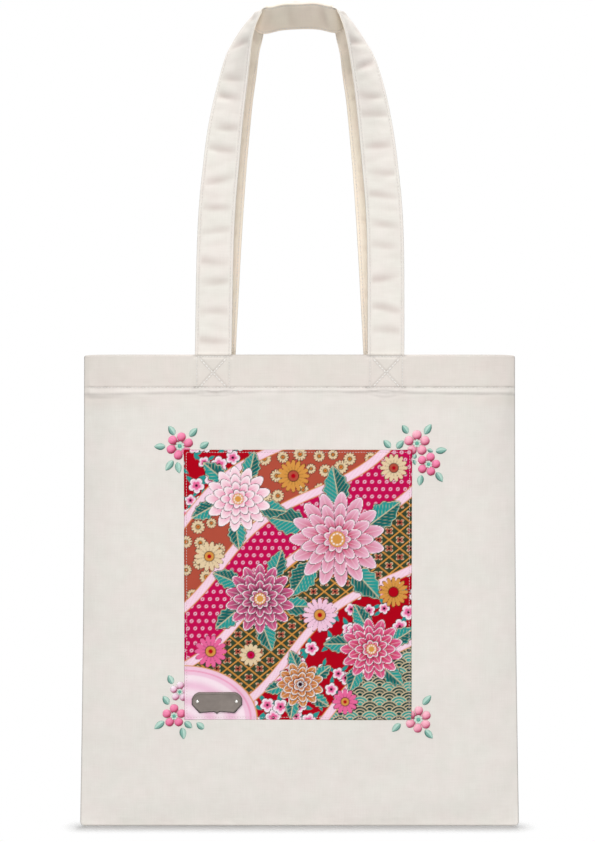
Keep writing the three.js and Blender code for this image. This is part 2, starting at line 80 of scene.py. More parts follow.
# Sizes of soft forms, which the solids lack or have a little differently
TOP_CORNER_RADIUS = 0.0021
MOUTH_SAG = 0.5 * MM
MOUTH_SAG_REACH = 6 * MM
WAIST = 0.0011
EDGE_ROLL = 1.1 * MM
CLOSED = 0.03 * MM
HEM_STEP = 0.65 * MM
GROOVE_DEPTH = 0.85 * MM
STRAP_PRESS = 0.70 * MM
SEWN_DIP = 0.40 * MM
BOX_TOP = 0.002
CROSS_INSET = 3 * MM
PATCH_STITCH_INSET = 0.0022

# A strap's route from its foot to its crown: shares of foot and rise, then how far the direction
# across it leans in the plane of the wall and turns out of that plane, in degrees. right_bow is how much
# further out its right leg bows
WALLS = {
    "front": {
        "side": -1,
        "seed": 11,
        "strap_length": 0.747,
        "right_bow": 0.0017,
        "foot": 0.0749,
        "rise": 0.2913,
        "route": [
            (1, 0, 0, 0),
            (0.968, 0.363, 0, 0),
            (0.903, 0.572, -3, 10),
            (0.832, 0.723, -8, 25),
            (0.729, 0.864, -12, 43),
            (0.654, 0.926, -17, 57),
            (0.578, 0.969, -31, 67),
            (0.520, 0.993, -50, 71),
            (0.476, 1.011, -55, 73),
            (0.461, 1.009, 0, 76),
            (0.447, 0.996, 52, 60),
            (0.370, 0.990, 68, 56),
            (0.199, 0.999, 79, 60),
            (0, 1, 90, 63),
        ],
    },
    "back": {
        "side": 1,
        "seed": 47,
        "strap_length": 0.756,
        "right_bow": 0,
        "foot": 0.0726,
        "rise": 0.3142,
        "route": [
            (1, 0, 0, 0),
            (0.946, 0.250, -2, 0),
            (0.898, 0.437, -4, 0),
            (0.851, 0.580, -6, 5),
            (0.785, 0.730, -9, 17),
            (0.706, 0.817, -12, 36),
            (0.634, 0.876, -16, 52),
            (0.546, 0.920, -24, 66),
            (0.430, 0.962, -45, 86),
            (0.270, 0.990, -70, 105),
            (0.130, 0.999, -83, 114),
            (0, 1, -90, 116),
        ],
    },
}

# Places worked out from the sizes
TILT = math.atan2(MOUTH_HALF_DEPTH - BOTTOM_HALF_DEPTH, BAG_HEIGHT)
CROWN_HEIGHT = BAG_HEIGHT + GAP + (WALLS["front"]["rise"] + WALLS["back"]["rise"]) / 2
BOTTOM = -CROWN_HEIGHT * math.cos(TILT)
SEAM_HALF_DEPTH = PANEL_THICKNESS + GAP / 2
HEM_BOTTOM = BAG_HEIGHT - HEM_DEPTH
HEM_LINE = HEM_BOTTOM + HEM_STITCH_INSET
STRAP_MIDDLE = -PANEL_THICKNESS - HEM_THICKNESS - 2 * GAP - STRAP_THICKNESS / 2
PATCH_BASE = HEM_BOTTOM - PATCH_DROP - PATCH_HEIGHT


# Walls: u runs across, v up the wall, n out of it
def half_width(v):
    """Half the width of the wall at a height, with straight sides."""
    return (BAG_WIDTH + (MOUTH_WIDTH - BAG_WIDTH) * v / BAG_HEIGHT) / 2


def corner_inset(v):
    """How far the outline lies inside the straight side: round lower corners, and a slight waist."""
    below = np.maximum(0, CORNER_RADIUS - v)
    lower = CORNER_RADIUS - np.sqrt(CORNER_RADIUS**2 - below**2)
    return lower + WAIST * np.sin(math.pi * v / BAG_HEIGHT)


def mouth_drop(u):
    """How far the mouth's edge falls towards the side seams, which round its corners."""
    outside = np.abs(u) - MOUTH_WIDTH / 2
    side = np.clip(outside / TOP_CORNER_RADIUS + 1, 0, 1)
    return TOP_CORNER_RADIUS * (1 - np.sqrt(1 - side**2)) + MOUTH_SAG * bell(outside, MOUTH_SAG_REACH)


def wall_depth(v):
    """From the plane midway between the walls to the flat of a wall."""
    return BOTTOM_HALF_DEPTH + v * math.sin(TILT)


def mid_plane(v):
    """The plane midway between the walls, as a height over the flat of a wall."""
    return -wall_depth(v) / math.cos(TILT)


def fall(u, v):
    """How far the cloth falls back from the flat of the wall towards the side and bottom seams."""
    side = np.maximum(0, (np.abs(u) - half_width(v) + WING) / WING)
    foot = np.maximum(0, (BOTTOM_ROLL - v) / BOTTOM_ROLL)
    fullness = (1 - side * side) * (1 - foot * foot)
    return (wall_depth(v) - SEAM_HALF_DEPTH) * (fullness - 1)


def on_wall(side, u, v, n):
    """Points in the row frame: side -1 is the front and 1 the back."""
    u, v, n = np.broadcast_arrays(u, v, n)
    depth = BOTTOM_HALF_DEPTH + n * math.cos(TILT) + v * math.sin(TILT)
    height = v * math.cos(TILT) - n * math.sin(TILT)
    return np.stack([u, side * depth, height + BOTTOM], axis=-1)


# Smooth fields
def waves(x, y, seed, count, shortest, longest, spread=math.pi):
    """A random field of about unit height: waves of random length, direction and phase."""
    random = np.random.default_rng(seed)
    total = np.zeros(np.broadcast(x, y).shape)
    for _ in range(count):
        length = shortest * (longest / shortest) ** random.random()
        angle = spread * (random.random() - 0.5)
        phase = 2 * math.pi * random.random()
        along = x * math.cos(angle) + y * math.sin(angle)
        total += np.sin(2 * math.pi * along / length + phase)
    return total / math.sqrt(count / 2)


def bell(x, width):
    """1 at zero, and next to nothing from two widths on."""
    return np.exp(-((x / width) ** 2))


def rise_at(x, width):
    """From 0 to 1 across zero, within about a width on each side."""
    return 0.5 + 0.5 * np.tanh(x / width)


def distance_to(u, v, start, end):
    """Distance from points of a wall to a straight line between two points of it."""
    du, dv = end[0] - start[0], end[1] - start[1]
    share = np.clip(((u - start[0]) * du + (v - start[1]) * dv) / (du * du + dv * dv), 0, 1)
    return np.hypot(u - start[0] - share * du, v - start[1] - share * dv)


# Shape of the walls' outer faces
def box_lines(foot):
    """The lines of the boxes and of the crosses that are sewn through the hem over the strap ends."""
    boxes, crosses = [], []
    for middle in (-foot, foot):
        left = middle - STRAP_WIDTH / 2 + BOX_INSET
        right = middle + STRAP_WIDTH / 2 - BOX_INSET
        top = BAG_HEIGHT - BOX_TOP
        boxes += [((end, HEM_LINE), (end, top)) for end in (left, right)]
        boxes.append(((left, top), (right, top)))
        low, high = HEM_LINE + MM, top - 2 * MM
        near, far = left + CROSS_INSET, right - CROSS_INSET
        crosses += [((near, low), (far, high)), ((far, low), (near, high))]
    return boxes, crosses


def drape(wall, u, v):
    """The slack of a hanging wall, which all that is sewn to it follows."""
    seed = wall["seed"]
    broad = waves(u, v, seed, 7, 0.09, 0.22)
    small = waves(u, v, seed + 1, 9, 0.030, 0.065)
    return 0.55 * MM * broad + 0.10 * MM * small


def hem_relief(wall, u, v):
    """The doubled hem, its sewn groove with puckers, and the strap ends that press through it."""
    seed = wall["seed"]
    over = v - HEM_LINE
    pull = waves(u, 0 * v, seed + 2, 9, 0.006, 0.017)
    slack = waves(u, 0 * v, seed + 3, 5, 0.05, 0.12)
    # The step of the doubled cloth, and the groove of its stitches
    shape = HEM_STEP * rise_at(over, 0.7 * MM) - (GROOVE_DEPTH + 0.15 * MM * pull) * bell(over, 0.9 * MM)
    # A roll under the groove, puckers over it, slack further down, and the fold along the hem
    shape += (0.34 + 0.22 * pull) * MM * bell(over + 3.2 * MM, 2.5 * MM)
    shape += 0.13 * MM * pull * bell(over - 3 * MM, 3 * MM)
    shape += 0.34 * MM * slack * bell(over + 7.5 * MM, 3.5 * MM)
    shape += 0.35 * MM * (bell(over - hem_fold(u) - 2 * MM, 1.6 * MM) - bell(over - hem_fold(u), 1.2 * MM))
    for middle in (-wall["foot"], wall["foot"]):
        beside = STRAP_WIDTH / 2 - np.abs(u - middle)
        shape += STRAP_PRESS * rise_at(beside, 0.8 * MM) * rise_at(over + 2 * MM, 1.2 * MM)
        reach, first, second = strap_folds(wall, u, over, middle)
        shape += 0.60 * MM * reach * bell(first - 1.6 * MM, 1.4 * MM)
        shape -= 0.45 * MM * reach * (bell(first, 1.0 * MM) + bell(second, 1.2 * MM))
    boxes, crosses = box_lines(wall["foot"])
    for start, end in boxes + crosses:
        shape -= SEWN_DIP * bell(distance_to(u, v, start, end), 1.0 * MM)
    return shape


def hem_fold(u):
    """Height of the slack fold that runs along under the hem, from the hem's stitch line."""
    return -3.9 * MM - 2.4 * MM * np.abs(u) / (BAG_WIDTH / 2)


def strap_folds(wall, u, over, middle):
    """Two slack folds under a strap end: how far they reach along the hem, and the height over each."""
    beside = u - middle
    lean = wall["side"] * math.copysign(1, middle)
    reach = bell(beside - 3 * MM * lean, 19 * MM)
    sag = 1.1 * MM * np.sin(beside / (6.5 * MM) + 1.3 * lean) + 0.6 * MM * np.sin(beside / (2.7 * MM) + lean)
    droop = 2.2 * MM * np.clip(1 - (beside / (17 * MM)) ** 2, 0, 1)
    return reach, over + 3.4 * MM + 0.5 * sag, over + 5.6 * MM + droop - 0.4 * sag


def side_crease(u, v):
    """A fold that starts at one side seam, just under the hem: its height, and the painted shade in it."""
    reach = bell(u + half_width(v) - 6 * MM, 34 * MM)
    level = HEM_LINE - 6.2 * MM + 0.03 * (u + half_width(v))
    crease = reach * (0.9 * bell(v - level, 2.0 * MM) - 0.55 * bell(v - level + 4 * MM, 2.2 * MM))
    return 1.1 * MM * crease, 0.04 * reach * bell(v - level + 2.6 * MM, 1.3 * MM)


def seam_pull(wall, u, v):
    """Short puckers along the side and bottom seams."""
    edge = half_width(v) - np.abs(u)
    ripple = waves(v, 0 * u, wall["seed"] + 4, 9, 0.009, 0.022)
    lower = waves(u, 0 * v, wall["seed"] + 5, 9, 0.010, 0.024)
    return 0.14 * MM * (ripple * bell(edge, 7 * MM) + lower * bell(v, 7 * MM))


def edge_distance(u, v):
    """How far a place lies inside the side and bottom edges."""
    return np.minimum(half_width(v) - corner_inset(v) - np.abs(u), v)


def outer_face(wall, u, v):
    """The outer face, which rolls in at the edges and stays on its own side of the middle."""
    within = edge_distance(u, v)
    edge = np.clip(within, 0, EDGE_ROLL)
    roll = EDGE_ROLL - np.sqrt(EDGE_ROLL**2 - (EDGE_ROLL - edge) ** 2)
    shape = fall(u, v) + drape(wall, u, v) * np.clip(within / (8 * MM), 0, 1)
    relief = hem_relief(wall, u, v) + side_crease(u, v)[0] + seam_pull(wall, u, v)
    shape += relief * np.clip(within / (5 * MM), 0, 1)
    return np.maximum(shape - roll, mid_plane(v) + 2 * CLOSED)


def inner_face(wall, u, v, outer):
    """The inner face, one cloth behind the outer one, or two where the hem is turned in."""
    hem = (GAP + HEM_THICKNESS) * rise_at(v - HEM_BOTTOM, 0.35 * MM)
    smooth = fall(u, v) + 0.6 * drape(wall, u, v)
    thick = (PANEL_THICKNESS + hem) * np.clip(edge_distance(u, v) / (1.6 * MM), 0, 1)
    return np.minimum(np.maximum(smooth - thick, mid_plane(v) + CLOSED), outer - CLOSED)


def wall_painted_shading(wall, u, v):
    """Painted shade and light on the canvas: darker in its sewn grooves and folds and along its edges, and
    lighter on the ridges.
    """
    over = v - HEM_LINE
    # Painted shade in the groove, and a painted highlight along its lower lip
    patchy = np.clip(0.62 + 0.40 * waves(u, 0 * v, wall["seed"] + 6, 7, 0.006, 0.05), 0, 1.3)
    dark = 0.20 * patchy * bell(over - 0.4 * MM, 0.7 * MM) - 0.05 * patchy * bell(over + 1.9 * MM, 1.0 * MM)
    # Painted shade in the fold along the hem, stronger towards the sides, with a painted highlight above it;
    # the doubled cloth a little darker
    side = np.abs(u) / (BAG_WIDTH / 2)
    uneven = np.clip(0.75 + 0.45 * waves(u, 0 * v, wall["seed"] + 7, 7, 0.02, 0.09), 0.1, 1.4)
    dark += uneven * (0.06 + 0.06 * side) * bell(over - hem_fold(u), 1.0 * MM) + 0.03 * rise_at(over, MM)
    dark -= 0.07 * side * bell(over - hem_fold(u) / 2, 1.2 * MM)
    # Painted shade at the strap ends: along their top edges and feet, at the corners of those and in the
    # folds below; lighter just under their top edges
    for middle in (-wall["foot"], wall["foot"]):
        beside = rise_at(STRAP_WIDTH / 2 + MM - np.abs(u - middle), 0.8 * MM)
        dark += beside * (0.22 * bell(v - BAG_HEIGHT + 0.9 * MM, 0.8 * MM) + 0.08 * bell(over, 0.9 * MM))
        dark -= 0.10 * beside * bell(v - BAG_HEIGHT + 3.4 * MM, 0.9 * MM)
        corner = np.abs(np.abs(u - middle) - STRAP_WIDTH / 2)
        dark += 0.16 * bell(corner, 2.2 * MM) * bell(over, 0.9 * MM)
        reach, first, second = strap_folds(wall, u, over, middle)
        dark += reach * (0.08 * bell(first, 0.8 * MM) + 0.10 * bell(second, 0.9 * MM))
    # Painted shade along the box stitches, and a painted shadow beside each cross stitch
    boxes, crosses = box_lines(wall["foot"])
    for start, end in boxes:
        dark += 0.07 * bell(distance_to(u, v, start, end), 0.9 * MM)
    for start, end in crosses:
        dark += 0.15 * bell(distance_to(u, v - 0.5 * MM, start, end) - 0.9 * MM, 0.6 * MM)
    # Painted shade in the crease at one side, then along the side, bottom and mouth edges
    dark += side_crease(u, v)[1]
    dark += 0.30 * bell(half_width(v) - corner_inset(v) - np.abs(u), 0.9 * MM)
    mouth = bell(v - BAG_HEIGHT + mouth_drop(u), 1.4 * MM)
    dark += 0.24 * bell(v, 1.1 * MM) + (0.10 + 0.14 * rise_at(np.abs(u) - 0.105, 0.02)) * mouth
    return 1 - np.clip(dark, -0.06, 0.45)


# The doubled hem's warmer colour, then the colour of the painted shade just under it
HEM_WARMTH = np.array([0, 0.022, 0.034])
UNDER_HEM_SHADE = np.array([0.045, 0.058, 0.075])


def wall_warmth_and_painted_shading(u, v):
    """The doubled hem is warmer, and painted lighter at its ends; the canvas just under it has painted soft
    shade there.
    """
    over = v - HEM_LINE
    side = np.clip(np.abs(u) / (BAG_WIDTH / 2), 0, 1)
    soft = side**1.5 * bell(over + 11 * MM, 7 * MM)
    hem = rise_at(over, MM)
    bright = 0.05 * hem * bell(BAG_WIDTH / 2 - np.abs(u) - 6 * MM, 11 * MM)
    return 1 + bright[..., None] - hem[..., None] * HEM_WARMTH - soft[..., None] * UNDER_HEM_SHADE


# Meshes
def spaced(marks, steps):
    """Places from mark to mark, about one step apart in each stretch."""
    places = [np.array(marks[:1])]
    for low, high, step in zip(marks, marks[1:], steps):
        count = max(1, round((high - low) / step))
        places.append(np.linspace(low, high, count + 1)[1:])
    return np.concatenate(places)


def grid_faces(rows, cols, wrap_rows=False, wrap_cols=False):
    index = np.arange(rows * cols).reshape(rows, cols)
    if wrap_rows:
        index = np.vstack([index, index[:1]])
    if wrap_cols:
        index = np.hstack([index, index[:, :1]])
    corners = [index[:-1, :-1], index[:-1, 1:], index[1:, 1:], index[1:, :-1]]
    return np.stack(corners, axis=-1).reshape(-1, 4)


def tube_faces(rows, cols):
    """A sleeve of closed rings with a cap at both ends."""
    last = (rows - 1) * cols
    caps = [list(range(cols)), list(range(last, last + cols))]
    return grid_faces(rows, cols, wrap_cols=True).tolist() + caps


def grid_rim(rows, cols):
    """The points round the edge of a grid, in order."""
    index = np.arange(rows * cols).reshape(rows, cols)
    rim = [index[0, :], index[1:, -1], index[-1, -2::-1], index[-2:0:-1, 0]]
    return np.concatenate(rim).tolist()


def add_piece(name, points, faces, material, cloth=None, tint=None):
    """A closed mesh with its faces out. cloth is each point's place on the flat cloth, tint its colour with
    any painted light and shade.
    """
    mesh = bpy.data.meshes.new(name)
    mesh.from_pydata(np.asarray(points, float).tolist(), [], [list(map(int, face)) for face in faces])
    if cloth is not None:
        attribute = mesh.attributes.new("cloth", "FLOAT_VECTOR", "POINT")
        attribute.data.foreach_set("vector", np.asarray(cloth, np.float32).ravel())
    if tint is not None:
        colours = np.ones((len(points), 4), np.float32)
        colours[:, :3] = tint
        attribute = mesh.color_attributes.new("tint", "FLOAT_COLOR", "POINT")
        attribute.data.foreach_set("color", colours.ravel())
    shape = bmesh.new()
    shape.from_mesh(mesh)
    bmesh.ops.recalc_face_normals(shape, faces=shape.faces)
    shape.to_mesh(mesh)
    shape.free()
    mesh.polygons.foreach_set("use_smooth", np.ones(len(mesh.polygons), bool))
    mesh.materials.append(material)
    piece = bpy.data.objects.new(name, mesh)
    bpy.context.scene.collection.objects.link(piece)
    return piece


class Parts:
    """Several small closed bodies that make up one piece."""

    def __init__(self):
        self.points = []
        self.faces = []
        self.cloth = []
        self.tint = []
        self.count = 0

    def add(self, points, faces, cloth=None, tint=None):
        self.points.append(points)
        self.faces += [[int(k) + self.count for k in face] for face in faces]
        self.cloth.append(np.zeros((len(points), 3)) if cloth is None else cloth)
        self.tint.append(np.ones((len(points), 3)) if tint is None else tint)
        self.count += len(points)

    def piece(self, name, material):
        points, cloth, tint = (np.concatenate(rows) for rows in (self.points, self.cloth, self.tint))
        return add_piece(name, points, self.faces, material, cloth, tint)


def grey(share):
    return np.repeat(share[..., None], 3, axis=-1)


# Materials
def linear(colour):
    """Linear light from display values of 0 to 255."""
    share = np.asarray(colour, float) / 255
    return np.where(share <= 0.04045, share / 12.92, ((share + 0.055) / 1.055) ** 2.4)


def feed(tree, shader, inputs):
    """Sets a node's inputs. Each is a value, or the socket that feeds it."""
    for name, value in inputs.items():
        if isinstance(value, bpy.types.NodeSocket):
            tree.links.new(value, shader.inputs[name])
        else:
            shader.inputs[name].default_value = value


def node(tree, kind, inputs=None, **settings):
    """A new shader node."""
    made = tree.nodes.new("ShaderNode" + kind)
    for name, value in settings.items():
        setattr(made, name, value)
    feed(tree, made, inputs or {})
    return made


def calc(tree, operation, first, second=0.0):
    return node(tree, "Math", {0: first, 1: second}, operation=operation).outputs[0]


def blend_colour(tree, share, first, second, blend_type="MIX"):
    mixer = node(tree, "Mix", {0: share, 6: first, 7: second}, data_type="RGBA", blend_type=blend_type)
    return mixer.outputs[2]


def times(tree, first, second):
    return blend_colour(tree, 1.0, first, second, "MULTIPLY")


def tinted(tree, colour):
    """A colour times the tint of each point of the mesh."""
    return times(tree, colour, node(tree, "Attribute", attribute_name="tint").outputs["Color"])


def scaled(tree, place, scale):
    return node(tree, "VectorMath", {0: place, 1: scale}, operation="MULTIPLY").outputs[0]


def flat_place(tree, scale):
    """Places on the flat cloth, times a scale for each direction."""
    return scaled(tree, node(tree, "Attribute", attribute_name="cloth").outputs["Vector"], scale)


def noise(tree, place, detail, scale=1.0):
    return node(tree, "TexNoise", {"Vector": place, "Scale": scale, "Detail": detail}).outputs[0]


def spread(tree, value, low, high, first=0.0, last=1.0):
    """A value that runs from low to high, made to run from first to last."""
    return node(tree, "MapRange", {0: value, 1: low, 2: high, 3: first, 4: last}).outputs[0]


def weighed(tree, first, second):
    """Three parts of one field with two parts of another."""
    return calc(tree, "ADD", calc(tree, "MULTIPLY", first, 0.6), calc(tree, "MULTIPLY", second, 0.4))


def relief_of(tree, height, strength, distance):
    return node(tree, "Bump", {"Strength": strength, "Distance": distance, "Height": height}).outputs[0]


def new_material(name):
    material = bpy.data.materials.new(name)
    material.use_nodes = True
    tree = material.node_tree
    return material, tree, tree.nodes["Principled BSDF"]


def weave_height(tree, thread):
    """A plain weave: warp and weft threads that pass over each other in turn."""
    place = flat_place(tree, (math.pi / thread, math.pi / thread, 0))
    split = node(tree, "SeparateXYZ", {0: place})
    warp = calc(tree, "SINE", split.outputs[0])
    weft = calc(tree, "SINE", split.outputs[1])
    over = calc(tree, "MULTIPLY", calc(tree, "MULTIPLY", warp, weft), 0.45)
    warp_high = calc(tree, "MULTIPLY", calc(tree, "ABSOLUTE", warp), calc(tree, "ADD", 0.55, over))
    weft_high = calc(tree, "MULTIPLY", calc(tree, "ABSOLUTE", weft), calc(tree, "SUBTRACT", 0.55, over))
    return calc(tree, "MAXIMUM", warp_high, weft_high)


def slubs(tree, thread):
    """Uneven yarn: streaks along both directions of the weave."""
    scales = ((1 / thread, 0.03 / thread, 0), (0.03 / thread, 1 / thread, 0))
    streaks = [noise(tree, flat_place(tree, scale), 2.0) for scale in scales]
    return calc(tree, "MULTIPLY", calc(tree, "ADD", *streaks), 0.5)


# Scales of the noise in cloth and thread, in lumps to a metre
BLOTCH_SCALE = (38, 38, 38)
MOTTLE_SCALE = (85, 85, 85)
STRAND_SCALE = (3200, 160, 37)


def cloth_material(name, colour, thread, mottle, relief, blotch=0.0, gloss=0.18):
    """Woven cloth: its colour with uneven yarn and soft blotches, and the weave as relief."""
    material, tree, shader = new_material(name)
    base = tinted(tree, (*linear(colour), 1))
    place = spread(tree, noise(tree, flat_place(tree, BLOTCH_SCALE), 2.0), 0.36, 0.64)
    rosy = (1 + blotch, 1 - 0.4 * blotch, 1 - 0.2 * blotch, 1)
    green = (1 - 0.8 * blotch, 1 + 0.3 * blotch, 1 - 0.5 * blotch, 1)
    base = times(tree, base, blend_colour(tree, place, rosy, green))
    yarn = slubs(tree, thread)
    lumps = noise(tree, flat_place(tree, MOTTLE_SCALE), 4.0)
    share = spread(tree, weighed(tree, yarn, lumps), 0.32, 0.68)
    dark = times(tree, base, (*(1 - np.array(mottle)), 1))
    light = times(tree, base, (*(1 + 0.8 * np.array(mottle)), 1))
    height = calc(tree, "ADD", weave_height(tree, thread), calc(tree, "MULTIPLY", yarn, 1.5))
    finish = {
        "Base Color": blend_colour(tree, share, dark, light),
        "Normal": relief_of(tree, height, relief, 0.12 * MM),
        "Roughness": 0.92,
        "Specular IOR Level": gloss,
        "Sheen Weight": gloss / 6,
        "Sheen Roughness": 0.6,
    }
    feed(tree, shader, finish)
    return material


def thread_material(name, colour, gloss):
    """Twisted or satin-laid thread: strands of slightly different shade along its length."""
    material, tree, shader = new_material(name)
    base = tinted(tree, (*linear(colour), 1))
    strand = noise(tree, flat_place(tree, STRAND_SCALE), 1.0)
    dark = times(tree, base, (0.78, 0.78, 0.78, 1))
    finish = {
        "Base Color": blend_colour(tree, spread(tree, strand, 0.3, 0.7), dark, base),
        "Normal": relief_of(tree, strand, 0.35, 0.06 * MM),
        "Roughness": 0.75 - 0.3 * gloss,
        "Specular IOR Level": 0.25 + 0.25 * gloss,
        "Sheen Weight": 0.15,
    }
    feed(tree, shader, finish)
    return material


CANVAS_WEAVE = {"thread": 0.62 * MM, "mottle": (0.050, 0.054, 0.060), "relief": 0.35, "blotch": 0.012}
CANVAS = cloth_material("natural_canvas", (230, 225, 219), **CANVAS_WEAVE)
STRAP_CANVAS = cloth_material("strap_canvas", (235, 229.5, 222.5), **CANVAS_WEAVE)
THREAD = thread_material("undyed_thread", (254, 251, 246), 0.1)


# The bag's walls: each is one cloth, turned in over the mouth as the hem
ROW_STEPS = (0.9 * MM, 2.7 * MM, 0.7 * MM, 1.0 * MM, 0.6 * MM)
COLUMN_STEPS = (3.0 * MM, 0.9 * MM, 3.0 * MM, 1.2 * MM, 0.4 * MM)


def wall_rows():
    """Heights, close together at the bottom seam, at the hem's stitches and at the mouth."""
    marks = [0, 10 * MM, HEM_BOTTOM - 14 * MM, HEM_BOTTOM + 6 * MM, BAG_HEIGHT - 6 * MM, BAG_HEIGHT]
    return spaced(marks, ROW_STEPS)


def wall_columns(foot):
    """Shares of the half width, close together at the straps and at the side seams."""
    half = MOUTH_WIDTH / 2
    reach = STRAP_WIDTH / 2 + 3 * MM
    marks = [0, foot - reach, foot + reach, half - 8 * MM, half - 2.4 * MM, half]
    right = spaced(marks, COLUMN_STEPS) / half
    return np.concatenate([-right[:0:-1], right])


def add_wall(name, wall):
    """The outer face, a roll over the mouth and the inner face, closed along the sides and the bottom."""
    share = wall_columns(wall["foot"])
    top_u = share * half_width(BAG_HEIGHT)
    lip = outer_face(wall, top_u, np.full_like(top_u, BAG_HEIGHT))
    facing = inner_face(wall, top_u, np.full_like(top_u, BAG_HEIGHT), lip)
    radius = (lip - facing) / 2
    v = wall_rows()[:, None] * (1 - (radius + mouth_drop(top_u)) / BAG_HEIGHT)[None, :]
    u = share[None, :] * (half_width(v) - corner_inset(v))
    outer = outer_face(wall, u, v)
    inner = inner_face(wall, u, v, outer)
    turns = np.linspace(0, math.pi, 7)[1:-1, None]
    roll_n = (outer[-1] + inner[-1]) / 2 + (outer[-1] - inner[-1]) / 2 * np.cos(turns)
    roll_v = v[-1] + (outer[-1] - inner[-1]) / 2 * np.sin(turns)
    roll_u = np.broadcast_to(u[-1], roll_n.shape)
    all_u = np.vstack([u, roll_u, u[::-1]])
    all_v = np.vstack([v, roll_v, v[::-1]])
    all_n = np.vstack([outer, roll_n, inner[::-1]])
    rows, cols = all_u.shape
    faces = grid_faces(rows, cols, wrap_rows=True).tolist()
    half = len(v)
    for edge in (0, cols - 1):
        line = np.arange(rows) * cols + edge
        for row in range(half - 1):
            back = rows - 1 - row
            faces.append(line[[row, row + 1, back - 1, back]].tolist())
        faces.append(line[half - 1 : rows - half + 1].tolist())
    down = np.vstack([v, roll_v, 2 * BAG_HEIGHT - v[::-1]])
    cloth = np.stack([all_u, down, np.full_like(all_u, wall["seed"])], axis=-1).reshape(-1, 3)
    points = on_wall(wall["side"], all_u, all_v, all_n).reshape(-1, 3)
    tint = (grey(wall_painted_shading(wall, all_u, all_v)) * wall_warmth_and_painted_shading(all_u, all_v)).reshape(-1, 3)
    return add_piece(f"{name}_canvas", points, faces, CANVAS, cloth, tint)


# Stitches: short lengths of thread that dip into the cloth at both ends
STITCH_PITCH = 3.1 * MM
STITCH_FILL = 0.80
STITCH_RADIUS = 0.36 * MM
STITCH_SINK = 0.60
STITCH_RINGS = 7
STITCH_SIDES = 6
BOX_STITCHES = {"pitch": 2.6 * MM, "radius": 0.40 * MM}
CROSS_STITCHES = {"pitch": 3.4 * MM, "radius": 0.58 * MM, "worn": 1.0}
PATCH_STITCHES = {"pitch": 2.4 * MM, "radius": 0.26 * MM}


def stitch_run(parts, line, out, pitch=STITCH_PITCH, radius=STITCH_RADIUS, worn=0.88):
    """Adds stitches along a line of points. out is the cloth's normal at each, worn the thread's tint."""
    lengths = np.concatenate([[0], np.cumsum(np.linalg.norm(np.diff(line, axis=0), axis=1))])
    count = max(1, int(round(lengths[-1] / pitch)))
    step = lengths[-1] / count
    share = np.linspace(0, 1, STITCH_RINGS)
    at = (np.arange(count)[:, None] + 0.5 + STITCH_FILL * (share - 0.5)[None, :]) * step

    def along(values):
        return np.stack([np.interp(at, lengths, values[:, k]) for k in range(3)], axis=-1)

    centre, up = along(line), along(out)
    way = np.gradient(centre, axis=1)
    way /= np.linalg.norm(way, axis=-1, keepdims=True)
    side = np.cross(way, up)
    hump = np.sin(math.pi * share) ** 0.6
    centre = centre + up * (radius * (hump - STITCH_SINK))[None, :, None]
    angle = np.linspace(0, 2 * math.pi, STITCH_SIDES, endpoint=False)
    girth = radius * (0.45 + 0.55 * hump)[None, :, None, None]
    ring = side[:, :, None] * np.cos(angle)[:, None] + 0.8 * up[:, :, None] * np.sin(angle)[:, None]
    points = (centre[:, :, None] + ring * girth).reshape(count, -1, 3)
    faces = tube_faces(STITCH_RINGS, STITCH_SIDES)
    run = np.repeat(share, STITCH_SIDES)
    strand = np.tile(angle, STITCH_RINGS) * radius + run * 2 * MM
    for k in range(count):
        cloth = np.stack([strand, run * step, 0 * run + k], axis=-1)
        parts.add(points[k], faces, cloth, np.full((len(run), 3), worn))


def wall_normals(wall, count):
    facing = np.array([0, wall["side"] * math.cos(TILT), -math.sin(TILT)])
    return np.repeat(facing[None, :], count, axis=0)


def wall_line(wall, start, end, spacing=MM):
    """Points on the outer face along a straight line of the wall."""
    count = max(2, int(math.dist(start, end) / spacing))
    u = np.linspace(start[0], end[0], count)
    v = np.linspace(start[1], end[1], count)
    return on_wall(wall["side"], u, v, outer_face(wall, u, v)), wall_normals(wall, count)


def add_hem_stitches(name, wall):
    parts = Parts()
    edge = half_width(HEM_LINE) - 4 * MM
    stitch_run(parts, *wall_line(wall, (-edge, HEM_LINE), (edge, HEM_LINE)))
    boxes, crosses = box_lines(wall["foot"])
    for start, end in boxes:
        stitch_run(parts, *wall_line(wall, start, end), **BOX_STITCHES)
    for start, end in crosses:
        stitch_run(parts, *wall_line(wall, start, end), **CROSS_STITCHES)
    return parts.piece(f"{name}_hem_thread", THREAD)


# Handles: a folded strap from one foot over the crown to the other
ROUTE_STEPS = 40
STRAP_STEP = 1.4 * MM
TAIL_POINTS = 16


def smooth_rows(rows):
    """A smooth curve through rows of values, in equal steps from row to row."""
    padded = np.vstack([rows[:1], rows, rows[-1:]])
    share = np.linspace(0, 1, ROUTE_STEPS, endpoint=False)[:, None]
    pieces = []
    for before, first, second, after in zip(padded, padded[1:], padded[2:], padded[3:]):
        leave, arrive = (second - before) / 2, (after - first) / 2
        cubic = 2 * (first - second) + leave + arrive
        square = 3 * (second - first) - 2 * leave - arrive
        pieces.append(((cubic * share + square) * share + leave) * share + first)
    return np.vstack([*pieces, rows[-1:]])


def direction_across(lean, turn):
    """Unit vectors in u, v and n from two angles in degrees."""
    lean, turn = np.radians(lean), np.radians(turn)
    return np.column_stack([np.cos(lean) * np.cos(turn), np.sin(lean) * np.cos(turn), np.sin(turn)])


